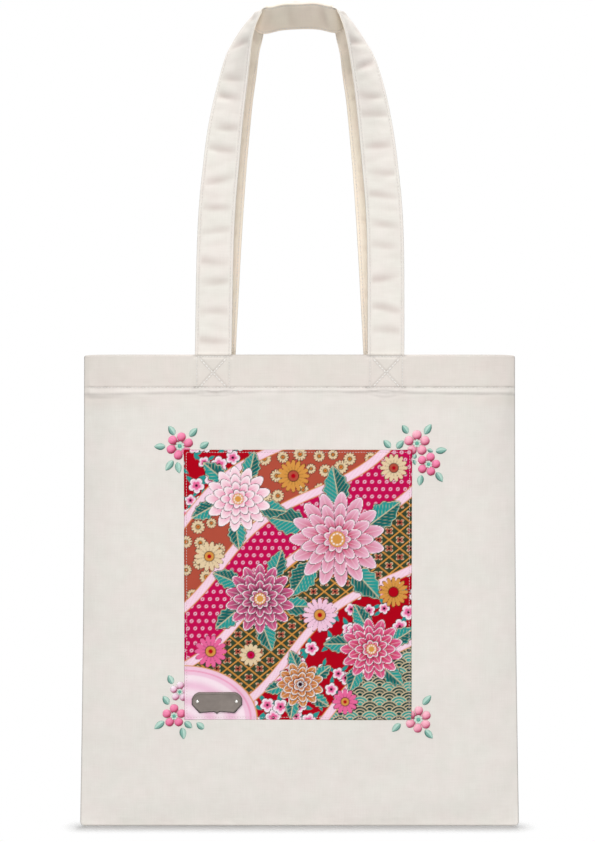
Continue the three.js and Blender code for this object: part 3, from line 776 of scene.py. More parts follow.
def strap_frames(wall):
    """Centre, direction across and normal of the strap along its whole length, in u, v and n."""
    start = BAG_HEIGHT + GAP
    left = np.array(wall["route"], float) * (-wall["foot"], wall["rise"], 1, 1)
    right = left[-2::-1] * (-1, 1, -1, 1) + (0, 0, 2 * left[-1, 2], 0)
    route = smooth_rows(np.vstack([left, right]))
    moved = np.linalg.norm(np.diff(route[:, :2], axis=0), axis=1)
    swung = np.linalg.norm(np.diff(direction_across(*route.T[2:]), axis=0), axis=1) * STRAP_WIDTH / 2
    lengths = np.concatenate([[0], np.cumsum(moved + swung)])
    places = np.linspace(0, lengths[-1], round(lengths[-1] / STRAP_STEP))
    u, rise, lean, turn = (np.interp(places, lengths, column) for column in route.T)
    u = u + wall["right_bow"] * (u > 0) * np.sin(math.pi * rise / wall["rise"])
    crown = -(wall_depth(start + wall["rise"]) - STRAP_WIDTH / 2 - CROWN_CLEARANCE)
    centre = np.column_stack([u, start + rise, STRAP_MIDDLE + (crown - STRAP_MIDDLE) * rise / wall["rise"]])
    across = direction_across(lean, turn)
    way = np.gradient(centre, axis=0)
    way[0], way[-1] = (0, 1, 0), (0, -1, 0)
    normal = np.cross(across, way)
    normal /= np.linalg.norm(normal, axis=1, keepdims=True)
    tail_v = np.linspace(HEM_BOTTOM - STRAP_TAIL, start, TAIL_POINTS, endpoint=False)
    tail = np.column_stack([0 * tail_v - wall["foot"], tail_v, 0 * tail_v + STRAP_MIDDLE])
    mirror = np.array([-1, 1, 1])

    def with_tails(first, values):
        return np.vstack([first, values, first[::-1] * mirror])

    level = [np.repeat(values[:1], TAIL_POINTS, axis=0) for values in (across, normal)]
    return with_tails(tail, centre), with_tails(level[0], across), with_tails(level[1], normal)


SECTION_POINTS = 45
SLIT = [(0.55, 0.80), (0.93, 0.52), (0.80, 0.14)]
SLIT_BOTTOM = (0.45, 0.0)


def strap_section():
    """The outline of a strap's section, across and through it: one edge is a fold, the other sewn shut."""
    half, thick = STRAP_WIDTH / 2, STRAP_THICKNESS / 2
    edge = thick * 0.9
    side = np.linspace(-1, 1, SECTION_POINTS)
    across = (half - edge) * np.sin(side * math.pi / 2) * 0.35 + (half - edge) * side * 0.65
    fold = np.linspace(math.pi / 2, -math.pi / 2, 7)[1:-1]
    slit = np.array([*SLIT, SLIT_BOTTOM, *((out, -up) for out, up in SLIT[::-1])])
    upper = np.column_stack([across, np.full_like(across, thick)])
    sewn = slit * (edge, thick) + (half - edge, 0)
    lower = np.column_stack([across[::-1], np.full_like(across, -thick)])
    folded = np.column_stack([-(half - edge) - edge * np.cos(fold), thick * np.sin(fold)])[::-1]
    return np.vstack([upper, sewn, lower, folded])


STRAP_LINE = STRAP_WIDTH / 2 - STRAP_STITCH_INSET
STRAP_FOOT = STRAP_TAIL + HEM_DEPTH + 1.6 * MM
DIP_RANGE = (0.045, 0.80)
DIP_SPACING = 0.0232
DIP_LENGTHS = (4.4 * MM, 2.8 * MM)
DIP_WIDTH = 15 * MM
# The colour that painted shade on the straps takes, and the painted light that makes their inner faces
# lighter and warmer
STRAP_SHADE_COLOUR = np.array([0.86, 1.06, 1.08])
INNER_FACE_LIGHT = np.array([1.15, 1.10, 1.02])


def strap_swell(across):
    """The strap is a little fuller between its stitch lines, and drawn in at them."""
    full = 0.14 * MM * np.clip(1 - (across / STRAP_LINE) ** 2, 0, 1)
    return full - 0.40 * MM * bell(np.abs(across) - STRAP_LINE, 0.8 * MM)


def strap_pucker(wall, along, across, face):
    """Dips across the strap, where its layers creep under the stitching, steeper on their lower sides."""
    seed = wall["seed"] + (20 if face > 0 else 30)
    random = np.random.default_rng(seed)
    shape = np.zeros(np.broadcast(along, across).shape)
    upward = np.where(along < along[-1] / 2, 1, -1)
    for place in np.arange(*DIP_RANGE, DIP_SPACING):
        middle = place + 0.12 * DIP_SPACING * random.normal()
        skew = 0.18 * random.normal()
        depth = 0.58 + 0.32 * random.random()
        shift = 3 * MM * random.normal()
        reach = bell(across - shift, DIP_WIDTH)
        above = upward * (along - middle + skew * across)
        shape -= depth * MM * reach * bell(above, np.where(above > 0, *DIP_LENGTHS))
    fine = waves(along, across, seed + 1, 9, 0.009, 0.022, 1.2)
    between = np.clip((STRAP_LINE - np.abs(across)) / (2.5 * MM), 0, 1)
    return (shape + 0.07 * MM * fine) * between


def strap_painted_shading(across, along, face, pucker):
    """Painted shade and light on the strap: darker in its stitch lines and dips, lighter where it comes out
    of the hem, and painted lighter and warmer on its inner face.
    """
    patchy = 0.8 + 0.2 * np.sin(along / (7 * MM))
    dark = 0.15 * patchy * bell(np.abs(across) - STRAP_LINE, 0.7 * MM)
    dip = np.clip(-pucker / (0.9 * MM) - 0.1, -0.1, 1.1)
    dark = dark + np.where(face < 0, 0.12, 0.25) * dip
    for from_end in (along, along[-1] - along):
        dark = dark - 0.05 * bell(from_end - STRAP_FOOT, 1.2 * MM)
    warm = np.where(face[..., None] < 0, INNER_FACE_LIGHT, 1.0)
    return (1 - dark[..., None] * STRAP_SHADE_COLOUR) * warm


def strap_points(wall, across, through):
    """Points of the strap at offsets across it and through it, for each place along it."""
    centre, way_across, normal = strap_frames(wall)
    steps = np.linalg.norm(np.diff(centre, axis=0), axis=1)
    along = np.concatenate([[0], np.cumsum(steps)])[:, None]
    free = np.clip((centre[:, 1:2] - BAG_HEIGHT) / (12 * MM), 0, 1)
    face = np.sign(through)
    upper = strap_pucker(wall, along, across[None, :], 1)
    lower = strap_pucker(wall, along, across[None, :], -1)
    pucker = np.where(face > 0, upper, lower) * free * (np.abs(through) > 0.4 * MM)
    sway = 0.35 * MM * waves(along, 0 * across[None, :], wall["seed"] + 9, 5, 0.06, 0.14) * free
    lift = through[None, :] + face[None, :] * (strap_swell(across)[None, :] + pucker) + sway
    aside = way_across[:, None] * across[None, :, None]
    return centre[:, None] + aside + normal[:, None] * lift[:, :, None], along, pucker


def add_strap(name, wall):
    """The whole strap: its section swept along its route. cloth sets its two faces apart."""
    section = strap_section()
    points, along, pucker = strap_points(wall, section[:, 0], section[:, 1])
    rows, cols = points.shape[:2]
    faces = tube_faces(rows, cols)
    place = on_wall(wall["side"], points[..., 0], points[..., 1], points[..., 2]).reshape(-1, 3)
    shift = np.where(section[:, 1] > 0, 0, 0.05)
    across = np.broadcast_to(section[:, 0] + shift, (rows, cols))
    cloth = np.stack([across, np.broadcast_to(along, (rows, cols)), 0 * across + wall["seed"]], axis=-1)
    face = np.broadcast_to(np.sign(section[:, 1] + 0.2 * MM), (rows, cols))
    tint = strap_painted_shading(np.broadcast_to(section[:, 0], (rows, cols)), along, face, pucker).reshape(-1, 3)
    return add_piece(f"{name}_strap", place, faces, STRAP_CANVAS, cloth.reshape(-1, 3), tint)


def add_strap_stitches(name, wall, line_name, sign):
    """The line of stitches near one edge of the strap, on both of its faces."""
    parts = Parts()
    offsets = np.array([sign * STRAP_LINE, sign * STRAP_LINE])
    points = strap_points(wall, offsets, np.array([STRAP_THICKNESS, -STRAP_THICKNESS]) / 2)[0]
    frames = strap_frames(wall)
    shown = frames[0][:, 1] > BAG_HEIGHT - 4 * MM
    for face in (0, 1):
        spot = points[shown, face]
        normal = frames[2][shown] * (1 if face == 0 else -1)
        origin = on_wall(wall["side"], *spot.T)
        tip = on_wall(wall["side"], *(spot + normal * MM).T)
        stitch_run(parts, origin, (tip - origin) / MM)
    return parts.piece(f"{name}_strap_{line_name}_thread", THREAD)


# Seam allowances inside the bag, folded against the back wall
SEAM_CELL = 4 * MM
SEAM_SEED = 71


def add_seam(name, u_range, v_range):
    """A slightly rippled strip of canvas. u_range gives its two edges at a height."""
    wall = WALLS["back"]
    rows = np.linspace(*v_range, max(8, int((v_range[1] - v_range[0]) / SEAM_CELL)))[:, None]
    left, right = u_range(0.1)
    share = np.linspace(0, 1, max(8, int(abs(right - left) / SEAM_CELL)))[None, :]
    ends = [np.array([u_range(v)[k] for v in rows[:, 0]])[:, None] for k in (0, 1)]
    u = ends[0] + (ends[1] - ends[0]) * share
    v = np.broadcast_to(rows, u.shape)
    inner = inner_face(wall, u, v, outer_face(wall, u, v))
    ripple = 0.12 * MM * waves(u, v, SEAM_SEED, 7, 0.012, 0.04)
    near = inner - 0.05 * MM
    far = inner - SEAM_THICKNESS + ripple
    count = u.size
    grid = grid_faces(*u.shape)
    ring = grid_rim(*u.shape)
    faces = grid.tolist() + (grid + count).tolist()
    faces += [[a, b, b + count, a + count] for a, b in zip(ring, ring[1:] + ring[:1])]
    points = np.vstack([on_wall(1, u, v, n).reshape(-1, 3) for n in (near, far)])
    cloth = np.tile(np.stack([u, v, 0 * u + 3], axis=-1).reshape(-1, 3), (2, 1))
    return add_piece(name, points, faces, CANVAS, cloth, np.ones((len(points), 3)))


# The printed design: bands that rise to the right, each with its own small pattern, under flower heads
INK = {
    "white": linear((254, 246, 248)),
    "pale": linear((242, 198, 220)),
    "pink": linear((232, 104, 154)),
    "hot": linear((194, 14, 80)),
    "crimson": linear((176, 4, 26)),
    "plum": linear((36, 2, 18)),
    "coral": linear((178, 80, 62)),
    "gold": linear((214, 150, 72)),
    "cream": linear((228, 204, 166)),
    "olive": linear((54, 70, 50)),
    "teal": linear((40, 150, 144)),
    "deep": linear((6, 62, 62)),
}
SOFT_EDGE = 0.55
OUTLINE = 0.6
PRINT_WIDTH = PATCH_WIDTH / MM
PRINT_HEIGHT = PATCH_HEIGHT / MM


def inside(distance):
    """A share from 1 within an outline to 0 outside it. Print distances are in millimetres."""
    return np.clip(0.5 - distance / SOFT_EDGE, 0, 1)


def paint(picture, share, colour):
    """Covers a share of the picture with an ink, or with a colour for each place."""
    colour = INK[colour] if isinstance(colour, str) else colour
    picture += share[..., None] * (colour - picture)


def stamp(picture, distance, ink):
    """Fills an outline. distance says how far each place lies outside it."""
    paint(picture, inside(distance), ink)


def plain(x, ink):
    return np.ones((*x.shape, 3)) * INK[ink]


def wave_field(x, y):
    """Rows of overlapping round waves."""
    radius = 8.5
    picture = plain(x, "teal")
    top_row = int(PRINT_HEIGHT / (radius / 2)) + 3
    for row in range(top_row, -3, -1):
        across = (x + radius * (row % 2)) % (2 * radius) - radius
        away = np.hypot(across, y - row * radius / 2)
        stamp(picture, away - radius, "deep" if row % 3 else "teal")
        for share in (0.95, 0.66, 0.37):
            stamp(picture, np.abs(away - radius * share) - 0.35, "cream")
    return picture


def trellis_field(x, y):
    """A lattice of lozenges with a small four-petalled flower in each."""
    pitch = 15.0
    picture = plain(x, "olive")
    first = (x * 0.8 + y) % pitch - pitch / 2
    second = (x * 0.8 - y) % pitch - pitch / 2
    away = np.hypot(first, second)
    petal = np.abs(np.cos(2 * np.arctan2(second, first))) ** 0.7
    stamp(picture, away - 5.0 * petal, "cream")
    stamp(picture, away - 4.1 * petal, "coral")
    stamp(picture, away - 1.3, "plum")
    line = pitch / 2 - np.maximum(np.abs(first), np.abs(second))
    stamp(picture, line - 1.15, "plum")
    stamp(picture, line - 0.75, "gold")
    return picture


def scattered(seed, pitch):
    """Places on a slanting lattice, each moved a little at random, with a random size and turn."""
    random = np.random.default_rng(seed)
    for row in range(int(PRINT_HEIGHT / pitch) + 2):
        for column in range(int(PRINT_WIDTH / pitch) + 2):
            shift = pitch * 0.5 * (row % 2)
            spot = np.array([column * pitch + shift, row * pitch]) + pitch * 0.22 * random.normal(size=2)
            yield spot, 0.8 + 0.4 * random.random(), 2 * math.pi * random.random()


def polar(x, y, spot):
    return np.hypot(x - spot[0], y - spot[1]), np.arctan2(y - spot[1], x - spot[0])


def heading(angle):
    return np.array([math.cos(angle), math.sin(angle)])


def sprig_field(x, y):
    """Crimson with sprigs of small round-petalled blossoms."""
    picture = plain(x, "crimson")
    sprigs = list(scattered(5, 16.0))
    for spot, size, turn in sprigs:
        for way in (0.7, 2.6):
            away, angle = polar(x, y, spot + 7.2 * heading(turn + way))
            slim = np.abs(np.sin(angle - turn - way))
            stamp(picture, away * (1 + 1.6 * slim) - 4.6 * size, "teal")
    for spot, size, turn in sprigs:
        away, angle = polar(x, y, spot)
        lobe = 0.62 + 0.38 * np.abs(np.cos(2.5 * (angle - turn))) ** 0.6
        stamp(picture, away - 6.0 * size * lobe - OUTLINE, "plum")
        for reach, ink in ((6.0, "white"), (5.0, "pale"), (3.4, "pink")):
            stamp(picture, away - reach * size * lobe, ink)
        stamp(picture, away - 1.2, "plum")
    return picture


def aster_field(x, y):
    """Coral with small many-petalled asters."""
    picture = plain(x, "coral")
    for spot, size, turn in scattered(8, 15.5):
        aster(picture, x, y, spot, 5.2 * size, 12, "cream", "gold", turn)
    return picture


def dotted_field(x, y):
    """Hot pink with rows of small pale rings."""
    pitch = 6.4
    picture = plain(x, "hot")
    row = np.floor(y / pitch)
    away = np.hypot((x + pitch / 2 * (row % 2)) % pitch - pitch / 2, y % pitch - pitch / 2)
    stamp(picture, away - 1.5, "pale")
    stamp(picture, away - 0.7, "crimson")
    return picture


def aster(picture, x, y, spot, radius, petals, ink, heart, turn=0.0):
    """A small flower of many narrow petals with veins between them, and a ringed heart."""
    away, angle = polar(x, y, spot)
    swing = petals / 2 * (angle - turn)
    border = radius * (0.55 + 0.45 * np.abs(np.cos(swing)) ** 0.5)
    stamp(picture, away - border - OUTLINE, "plum")
    stamp(picture, away - border, ink)
    paint(picture, 0.35 * inside(away - border * 0.75) * np.abs(np.sin(swing)) ** 6, "plum")
    stamp(picture, away - 0.34 * radius, heart)
    stamp(picture, np.abs(away - 0.34 * radius) - 0.3, "plum")
    stamp(picture, away - 0.14 * radius, "crimson")


def flower_head(picture, x, y, spot, radius, petals, tip, base, heart):
    """A large flower of four whorls of pointed petals, each shaded from its base to its tip."""
    away, angle = polar(x, y, spot)
    for whorl in range(4):
        reach = radius * (1 - 0.24 * whorl)
        count = petals - 2 * whorl
        place = np.abs(((angle / (2 * math.pi) * count + 0.5 * whorl) % 1) - 0.5)
        border = reach * (1 - 0.30 * (2 * place) ** 1.7)
        stamp(picture, away - border - 0.5 - OUTLINE, "plum")
        stamp(picture, away - border - 0.5, "white")
        shade = np.clip(1.7 * (np.clip(away / border, 0, 1) - 0.50), 0, 1)[..., None]
        within = inside(away - border + 0.3)
        paint(picture, within, INK[base] * (1 - shade) + INK[tip] * shade)
        petal_width = 2 * math.pi * away / count
        paint(picture, 0.8 * within * inside((0.5 - place) * petal_width - 0.35), "plum")
        paint(picture, 0.35 * within * inside(place * petal_width - 0.3), "white")
    stamp(picture, away - 0.17 * radius, heart)
    dots = np.abs(np.sin(5 * angle)) * inside(np.abs(away - 0.12 * radius) - 0.6)
    paint(picture, dots, "white")


def printed_leaf(picture, x, y, spot, length, turn):
    """A scalloped leaf, dark on one half, with slanting ribs and a middle vein."""
    along = (x - spot[0]) * math.cos(turn) + (y - spot[1]) * math.sin(turn)
    across = (y - spot[1]) * math.cos(turn) - (x - spot[0]) * math.sin(turn)
    share = np.clip(along / length, 0, 1)
    wide = 0.30 * length * np.sin(math.pi * share**0.8) * (1 + 0.10 * np.cos(9 * math.pi * share))
    edge = np.where((along > 0) & (along < length), np.abs(across) - wide, 9.0)
    stamp(picture, edge - 0.5 - OUTLINE, "plum")
    stamp(picture, edge - 0.5, "cream")
    stamp(picture, edge, "teal")
    paint(picture, 0.7 * inside(edge + 0.8) * inside(across), "deep")
    ribs = np.abs((along - np.abs(across)) % 4.0 - 2.0)
    paint(picture, 0.5 * inside(edge + 0.6) * inside(ribs - 0.25), "cream")
    paint(picture, inside(edge) * inside(np.abs(across) - 0.35), "cream")


# The print's layout, in millimetres from the patch's lower left corner
# A band: its upper limit, and what fills it
OVER_ALL = 999
BANDS = [
    (-72, wave_field),
    (-12, sprig_field),
    (44, trellis_field),
    (86, dotted_field),
    (136, aster_field),
    (OVER_ALL, sprig_field),
]
BAND_SLOPE = math.radians(38)
BAND_WAVE = 9
BAND_WAVE_LENGTH = 34
RIBBON = 4.0
FAN = (64, 48)
# A flower: its place, radius, number of petals and inks
FLOWER_HEADS = [
    ((133, 158), 41, 15, "pale", "hot", "gold"),
    ((47, 193), 28, 13, "white", "pink", "gold"),
    ((163, 62), 27, 13, "pink", "crimson", "gold"),
    ((66, 106), 30, 14, "pink", "plum", "gold"),
    ((101, 31), 20, 11, "gold", "coral", "plum"),
]
ASTERS = [
    ((95, 213), 14, 16, "gold", "coral"),
    ((22, 143), 13, 14, "cream", "gold"),
    ((182, 112), 13, 16, "gold", "crimson"),
    ((118, 92), 15, 16, "pale", "gold"),
    ((23, 60), 14, 14, "pink", "gold"),
    ((182, 220), 12, 14, "cream", "coral"),
    ((58, 57), 10, 12, "cream", "hot"),
    ((140, 16), 11, 12, "pink", "gold"),
]
LEAF_TURNS = (0.4, 1.5, 2.7, 3.9, 5.2)


def printed_picture(x, y):
    """The whole print, at places in millimetres from the patch's lower left corner."""
    flow = x * math.cos(BAND_SLOPE) + y * math.sin(BAND_SLOPE)
    rank = y * math.cos(BAND_SLOPE) - x * math.sin(BAND_SLOPE) + BAND_WAVE * np.sin(flow / BAND_WAVE_LENGTH)
    picture = np.zeros((*x.shape, 3))
    low = -OVER_ALL
    for high, field in BANDS:
        part = (rank >= low - 1) & (rank <= high + 1)
        colours = np.zeros_like(picture)
        colours[part] = field(x[part], y[part])
        paint(picture, inside(rank - high) * inside(low - rank), colours)
        low = high
    for high, _ in BANDS[:-1]:
        away = np.abs(rank - high)
        stamp(picture, away - RIBBON, "gold")
        stamp(picture, away - RIBBON + 0.7, "pale")
        streak = 0.25 * (1 + np.sin(flow * 1.9) * np.sin(rank * 2.3 + flow))
        paint(picture, streak * inside(away - RIBBON + 1.4), "white")
    fan = (np.hypot(x / FAN[0], y / FAN[1]) - 1) * FAN[1]
    stamp(picture, fan, "gold")
    stamp(picture, fan + 0.8, "pale")
    paint(picture, 0.5 * inside(np.abs(fan + 4.5) - 0.6), "pink")
    paint(picture, 0.6 * inside(fan + 8) * (0.5 + 0.5 * np.sin(fan / 2.2)), "white")
    for k, (spot, radius, *_) in enumerate(FLOWER_HEADS):
        for turn in LEAF_TURNS:
            way = turn + 0.7 * k
            start = np.array(spot) + 0.72 * radius * heading(way)
            printed_leaf(picture, x, y, start, 0.85 * radius, way + 0.25)
    for flower in ASTERS:
        aster(picture, x, y, *flower)
    for flower in FLOWER_HEADS:
        flower_head(picture, x, y, *flower)
    return picture


# The patch: printed cotton, its edges turned under and sewn down
PATCH_CELLS = (336, 280)
PATCH_UNDER = 8
PATCH_SEED = 91
PRINTED = cloth_material("printed_cotton", (255, 255, 255), 0.36 * MM, (0.05, 0.05, 0.05), 0.30, gloss=0.03)


def patch_edge(u, v):
    """Distance inside the patch's outline; below zero outside it."""
    across = PATCH_WIDTH / 2 - np.abs(u - PATCH_SHIFT)
    return np.minimum(across, PATCH_HEIGHT / 2 - np.abs(v - PATCH_BASE - PATCH_HEIGHT / 2))


def patch_lift(u, v):
    """Height of the patch's face over the canvas."""
    edge = patch_edge(u, v)
    turned = np.clip(1 - edge / MM, 0, 1)
    lift = 0.08 * MM + 0.85 * MM * np.sqrt(1 - turned**2)
    lift -= 0.20 * MM * rise_at(edge - 7 * MM, 1.5 * MM)
    lift -= 0.34 * MM * bell(edge - PATCH_STITCH_INSET, 0.75 * MM)
    pull = waves(u, v, PATCH_SEED, 11, 0.006, 0.014)
    lift += 0.10 * MM * pull * bell(edge - 4.2 * MM, 2.6 * MM)
    slack = waves(u, v, PATCH_SEED + 1, 9, 0.026, 0.07)
    return lift + 0.14 * MM * slack * np.clip(edge / (12 * MM), 0, 1)


def add_patch():
    """A fine printed face over a coarse back, which share their rim."""
    rows, cols = PATCH_CELLS
    v = PATCH_BASE + np.linspace(0, PATCH_HEIGHT, rows + 1)[:, None] + np.zeros((1, cols + 1))
    u = PATCH_SHIFT + np.linspace(-0.5, 0.5, cols + 1)[None, :] * PATCH_WIDTH + np.zeros((rows + 1, 1))
    ground = drape(WALLS["front"], u, v)
    top = on_wall(-1, u, v, ground + patch_lift(u, v)).reshape(-1, 3)
    fine = np.arange(u.size).reshape(u.shape)
    step = PATCH_UNDER
    under = fine[::step, ::step].copy()
    hidden = under[1:-1, 1:-1]
    spare = u.size + np.arange(hidden.size).reshape(hidden.shape)
    below = on_wall(-1, *(field[::step, ::step][1:-1, 1:-1] for field in (u, v, ground + 0.02 * MM)))
    under[1:-1, 1:-1] = spare
    faces = grid_faces(rows + 1, cols + 1).tolist()
    for row in range(under.shape[0] - 1):
        for column in range(under.shape[1] - 1):
            face = [under[row, column]]
            if row == 0:
                face += fine[0, column * step + 1 : (column + 1) * step].tolist()
            face.append(under[row, column + 1])
            if column == under.shape[1] - 2:
                face += fine[row * step + 1 : (row + 1) * step, -1].tolist()
            face.append(under[row + 1, column + 1])
            if row == under.shape[0] - 2:
                face += fine[-1, column * step + 1 : (column + 1) * step][::-1].tolist()
            face.append(under[row + 1, column])
            if column == 0:
                face += fine[row * step + 1 : (row + 1) * step, 0][::-1].tolist()
            faces.append(face[::-1])
    picture = printed_picture((u - PATCH_SHIFT + PATCH_WIDTH / 2) / MM, (v - PATCH_BASE) / MM).reshape(-1, 3)
    tint = np.vstack([picture, np.ones((hidden.size, 3)) * INK["cream"]])
    flat = np.stack([u, v, 0 * u], axis=-1).reshape(-1, 3)
    cloth = np.vstack([flat, np.zeros((hidden.size, 3))])
    return add_piece("patch_cotton", np.vstack([top, below.reshape(-1, 3)]), faces, PRINTED, cloth, tint)


def add_patch_stitches():
    parts = Parts()
    left, right = PATCH_SHIFT - PATCH_WIDTH / 2, PATCH_SHIFT + PATCH_WIDTH / 2
    low, high = PATCH_BASE, PATCH_BASE + PATCH_HEIGHT
    inset = PATCH_STITCH_INSET
    corners = [(left, low, 1, 1), (right, low, -1, 1), (right, high, -1, -1), (left, high, 1, -1)]
    corners = [(u + du * inset, v + dv * inset) for u, v, du, dv in corners]
    for start, end in zip(corners, corners[1:] + corners[:1]):
        count = int(math.dist(start, end) / MM)
        u, v = np.linspace(start[0], end[0], count), np.linspace(start[1], end[1], count)
        line = on_wall(-1, u, v, drape(WALLS["front"], u, v) + patch_lift(u, v))
        stitch_run(parts, line, wall_normals(WALLS["front"], count), **PATCH_STITCHES)
    return parts.piece("patch_thread", PATCH_THREAD)


# Embroidery at the corners of the patch, in millimetres from each corner
HOT_PINK = "hot_pink"
ROSE = "rose"
PALE_PINK = "pale_pink"
# A flower: its place, the radius of its ring of petals, their number, its turn and its colour
# A leaf: its place, turn and length, and for a small leaf its width
CORNERS = {
    "upper_left": {
        "side": -1,
        "level": 1,
        "flowers": [(-3.4, 3.2, 8, 6, 80, HOT_PINK)],
        "leaves": [
            (-10.4, 16.8, 123, 9.5),
            (8.4, 15.2, 48, 9.9),
            (-20.8, 2.8, 180, 9.8),
            (17.9, 4.1, 32, 9.2),
            (-12.5, -13.6, 233, 11),
            (-4.7, -15.6, 280, 10),
        ],
    },
    "upper_right": {
        "side": 1,
        "level": 1,
        "flowers": [(4.1, 5.6, 7.2, 5, 90, ROSE), (14.1, -12.6, 6.5, 5, 74, HOT_PINK)],
        "leaves": [
            (-6.1, 17.8, 122, 8.7),
            (13.6, 17.9, 57, 10.6),
            (-21.7, 5.1, 132, 8.9),
            (-10.5, 4.7, 49, 8.9),
            (25.2, -0.6, 10, 9.9),
            (7.2, -26.6, 259, 9.5),
            (23.8, -23.7, 304, 10.2),
        ],
    },
    "lower_left": {
        "side": -1,
        "level": 0,
        "flowers": [(-3.9, 24.8, 5.6, 5, 85, PALE_PINK), (-8.9, 3.5, 6.6, 5, 90, HOT_PINK)],
        "leaves": [
            (-11.9, 35.6, 115, 8.5),
            (-15.9, 17.5, 123, 9),
            (-21.9, -4.5, 218, 10.9),
            (3.4, -4.5, 320, 8.3),
            (13.7, -5.4, 137, 8.5),
            (-1.3, -12, 278, 10.5),
        ],
    },
    "lower_right": {
        "side": 1,
        "level": 0,
        "flowers": [(5.9, 0.3, 7.8, 6, 87, ROSE)],
        "leaves": [(13.4, 17.4, 49, 10.9), (-13.4, -6.7, 224, 10.2), (15.2, -12.7, 313, 10)],
    },
}
SMALL_LEAVES = {
    "upper_right_5": [(15.6, -0.6, -17, 5.2, 3.5), (2.1, -5.5, 70, 4.6, 4.0), (2.1, -10.8, -75, 4.6, 3.3)],
}
PALE_LEAVES = {"upper_left_6": 0.45}
LEAF_SEED = 300
SMALL_LEAF_SEED = 400
PETAL_FILL = 0.97
PETAL_REACH = 1.42
# LIGHT_FROM is the direction in the wall from which painted light falls on the petals; PETAL_DEPTH and
# LEAF_DEPTH are powers, one for each colour channel, by which painted shade also deepens the thread's colour
LIGHT_FROM = math.radians(118)
PETAL_DEPTH = np.array([1.0, 2.6, 1.9])
LEAF_DEPTH = np.array([1.7, 1.0, 1.05])
CENTRE_SHARE = 0.52
SATIN_HEIGHT = 1.8 * MM
LEAF_WIDTH = 5.9 * MM
PATCH_THREAD = thread_material("patch_thread", (236, 214, 214), 0.2)
FLOWER_THREADS = {
    HOT_PINK: thread_material("hot_pink_thread", (246, 128, 170), 0.8),
    ROSE: thread_material("rose_thread", (250, 168, 190), 0.8),
    PALE_PINK: thread_material("pale_pink_thread", (246, 206, 226), 0.8),
}
LEAF_THREAD = thread_material("leaf_thread", (172, 212, 198), 0.8)
CENTRE_THREAD = thread_material("centre_thread", (198, 228, 216), 0.6)


def corner_spot(corner, du, dv):
    """A place on the wall, from millimetres beside a corner of the patch."""
    u = PATCH_SHIFT + corner["side"] * PATCH_WIDTH / 2 + du * MM
    return np.array([u, PATCH_BASE + corner["level"] * PATCH_HEIGHT + dv * MM])


def add_satin(parts, spot, turn, along, across, high, cloth, tint):
    """A low dome of laid threads on a grid. What reaches under the patch is pressed flat."""
    turn = math.radians(turn)
    u = spot[0] + along * math.cos(turn) - across * math.sin(turn)
    v = spot[1] + along * math.sin(turn) + across * math.cos(turn)
    free = np.clip(-patch_edge(u, v) / (0.8 * MM), 0, 1)
    n = drape(WALLS["front"], u, v) + 0.02 * MM + high * free
    faces = grid_faces(*u.shape).tolist()
    faces.append(grid_rim(*u.shape)[::-1])
    parts.add(on_wall(-1, u, v, n).reshape(-1, 3), faces, cloth.reshape(-1, 3), tint.reshape(-1, 3))


def add_petal(parts, spot, turn, ring, petals, seed):
    """Threads run out from the flower's middle over a padded petal, which narrows to that middle."""
    random = np.random.default_rng(seed)
    radius = ring * math.sin(math.pi / petals) * PETAL_FILL
    arc = np.linspace(math.pi - 0.15, 0.15, 24)[:, None]
    side = np.linspace(-1, 1, 53)[None, :]
    along = ring + radius * np.cos(arc) * np.where(arc > math.pi / 2, PETAL_REACH, 1.0)
    wide = np.minimum(radius * np.sin(arc) ** 0.8, 0.94 * along * math.tan(math.pi / petals))
    dome = np.sin(arc) ** 0.55 * (1 - side**2) ** 0.45
    strand = np.abs(np.cos(side * 6.5 * math.pi + 0.4 * random.normal()))
    high = SATIN_HEIGHT * dome * (0.93 + 0.07 * strand) * np.clip(along / ring / 0.2 - 2.1, 0.2, 1)
    along, wide = along + 0 * side, wide * side
    cloth = np.stack([side * radius + 0 * arc, along, 0 * along + seed], axis=-1)
    inner = np.clip(np.cos(math.pi - arc), 0, 1)
    # Painted light and shade: lighter towards the light direction and darker away from it, darker along the
    # rims on the far side, towards the flower's middle and along the notch at the tip; strand and the random
    # term are the thread's own tone
    shade = 0.95 + 0.08 * strand + 0.06 * (1 - dome) * random.normal() - 0.30 * inner**2
    light = LIGHT_FROM - math.radians(turn)
    lit = ((along - ring) * math.cos(light) + wide * math.sin(light)) / radius
    notch = bell(side, 0.2) * np.clip(1.6 * np.cos(arc) - 0.6, 0, 1)
    shade = shade + 0.23 * lit - 0.42 * np.clip(-lit - 0.10, 0, 1) - 0.12 * notch
    shade = shade - 0.42 * (1 - dome) * np.clip(0.55 - 0.6 * lit, 0, 1)
    tint = np.clip(shade + 0 * along, 0.40, 1.22)[..., None] ** PETAL_DEPTH
    add_satin(parts, spot, turn, along, wide, high, cloth, tint)


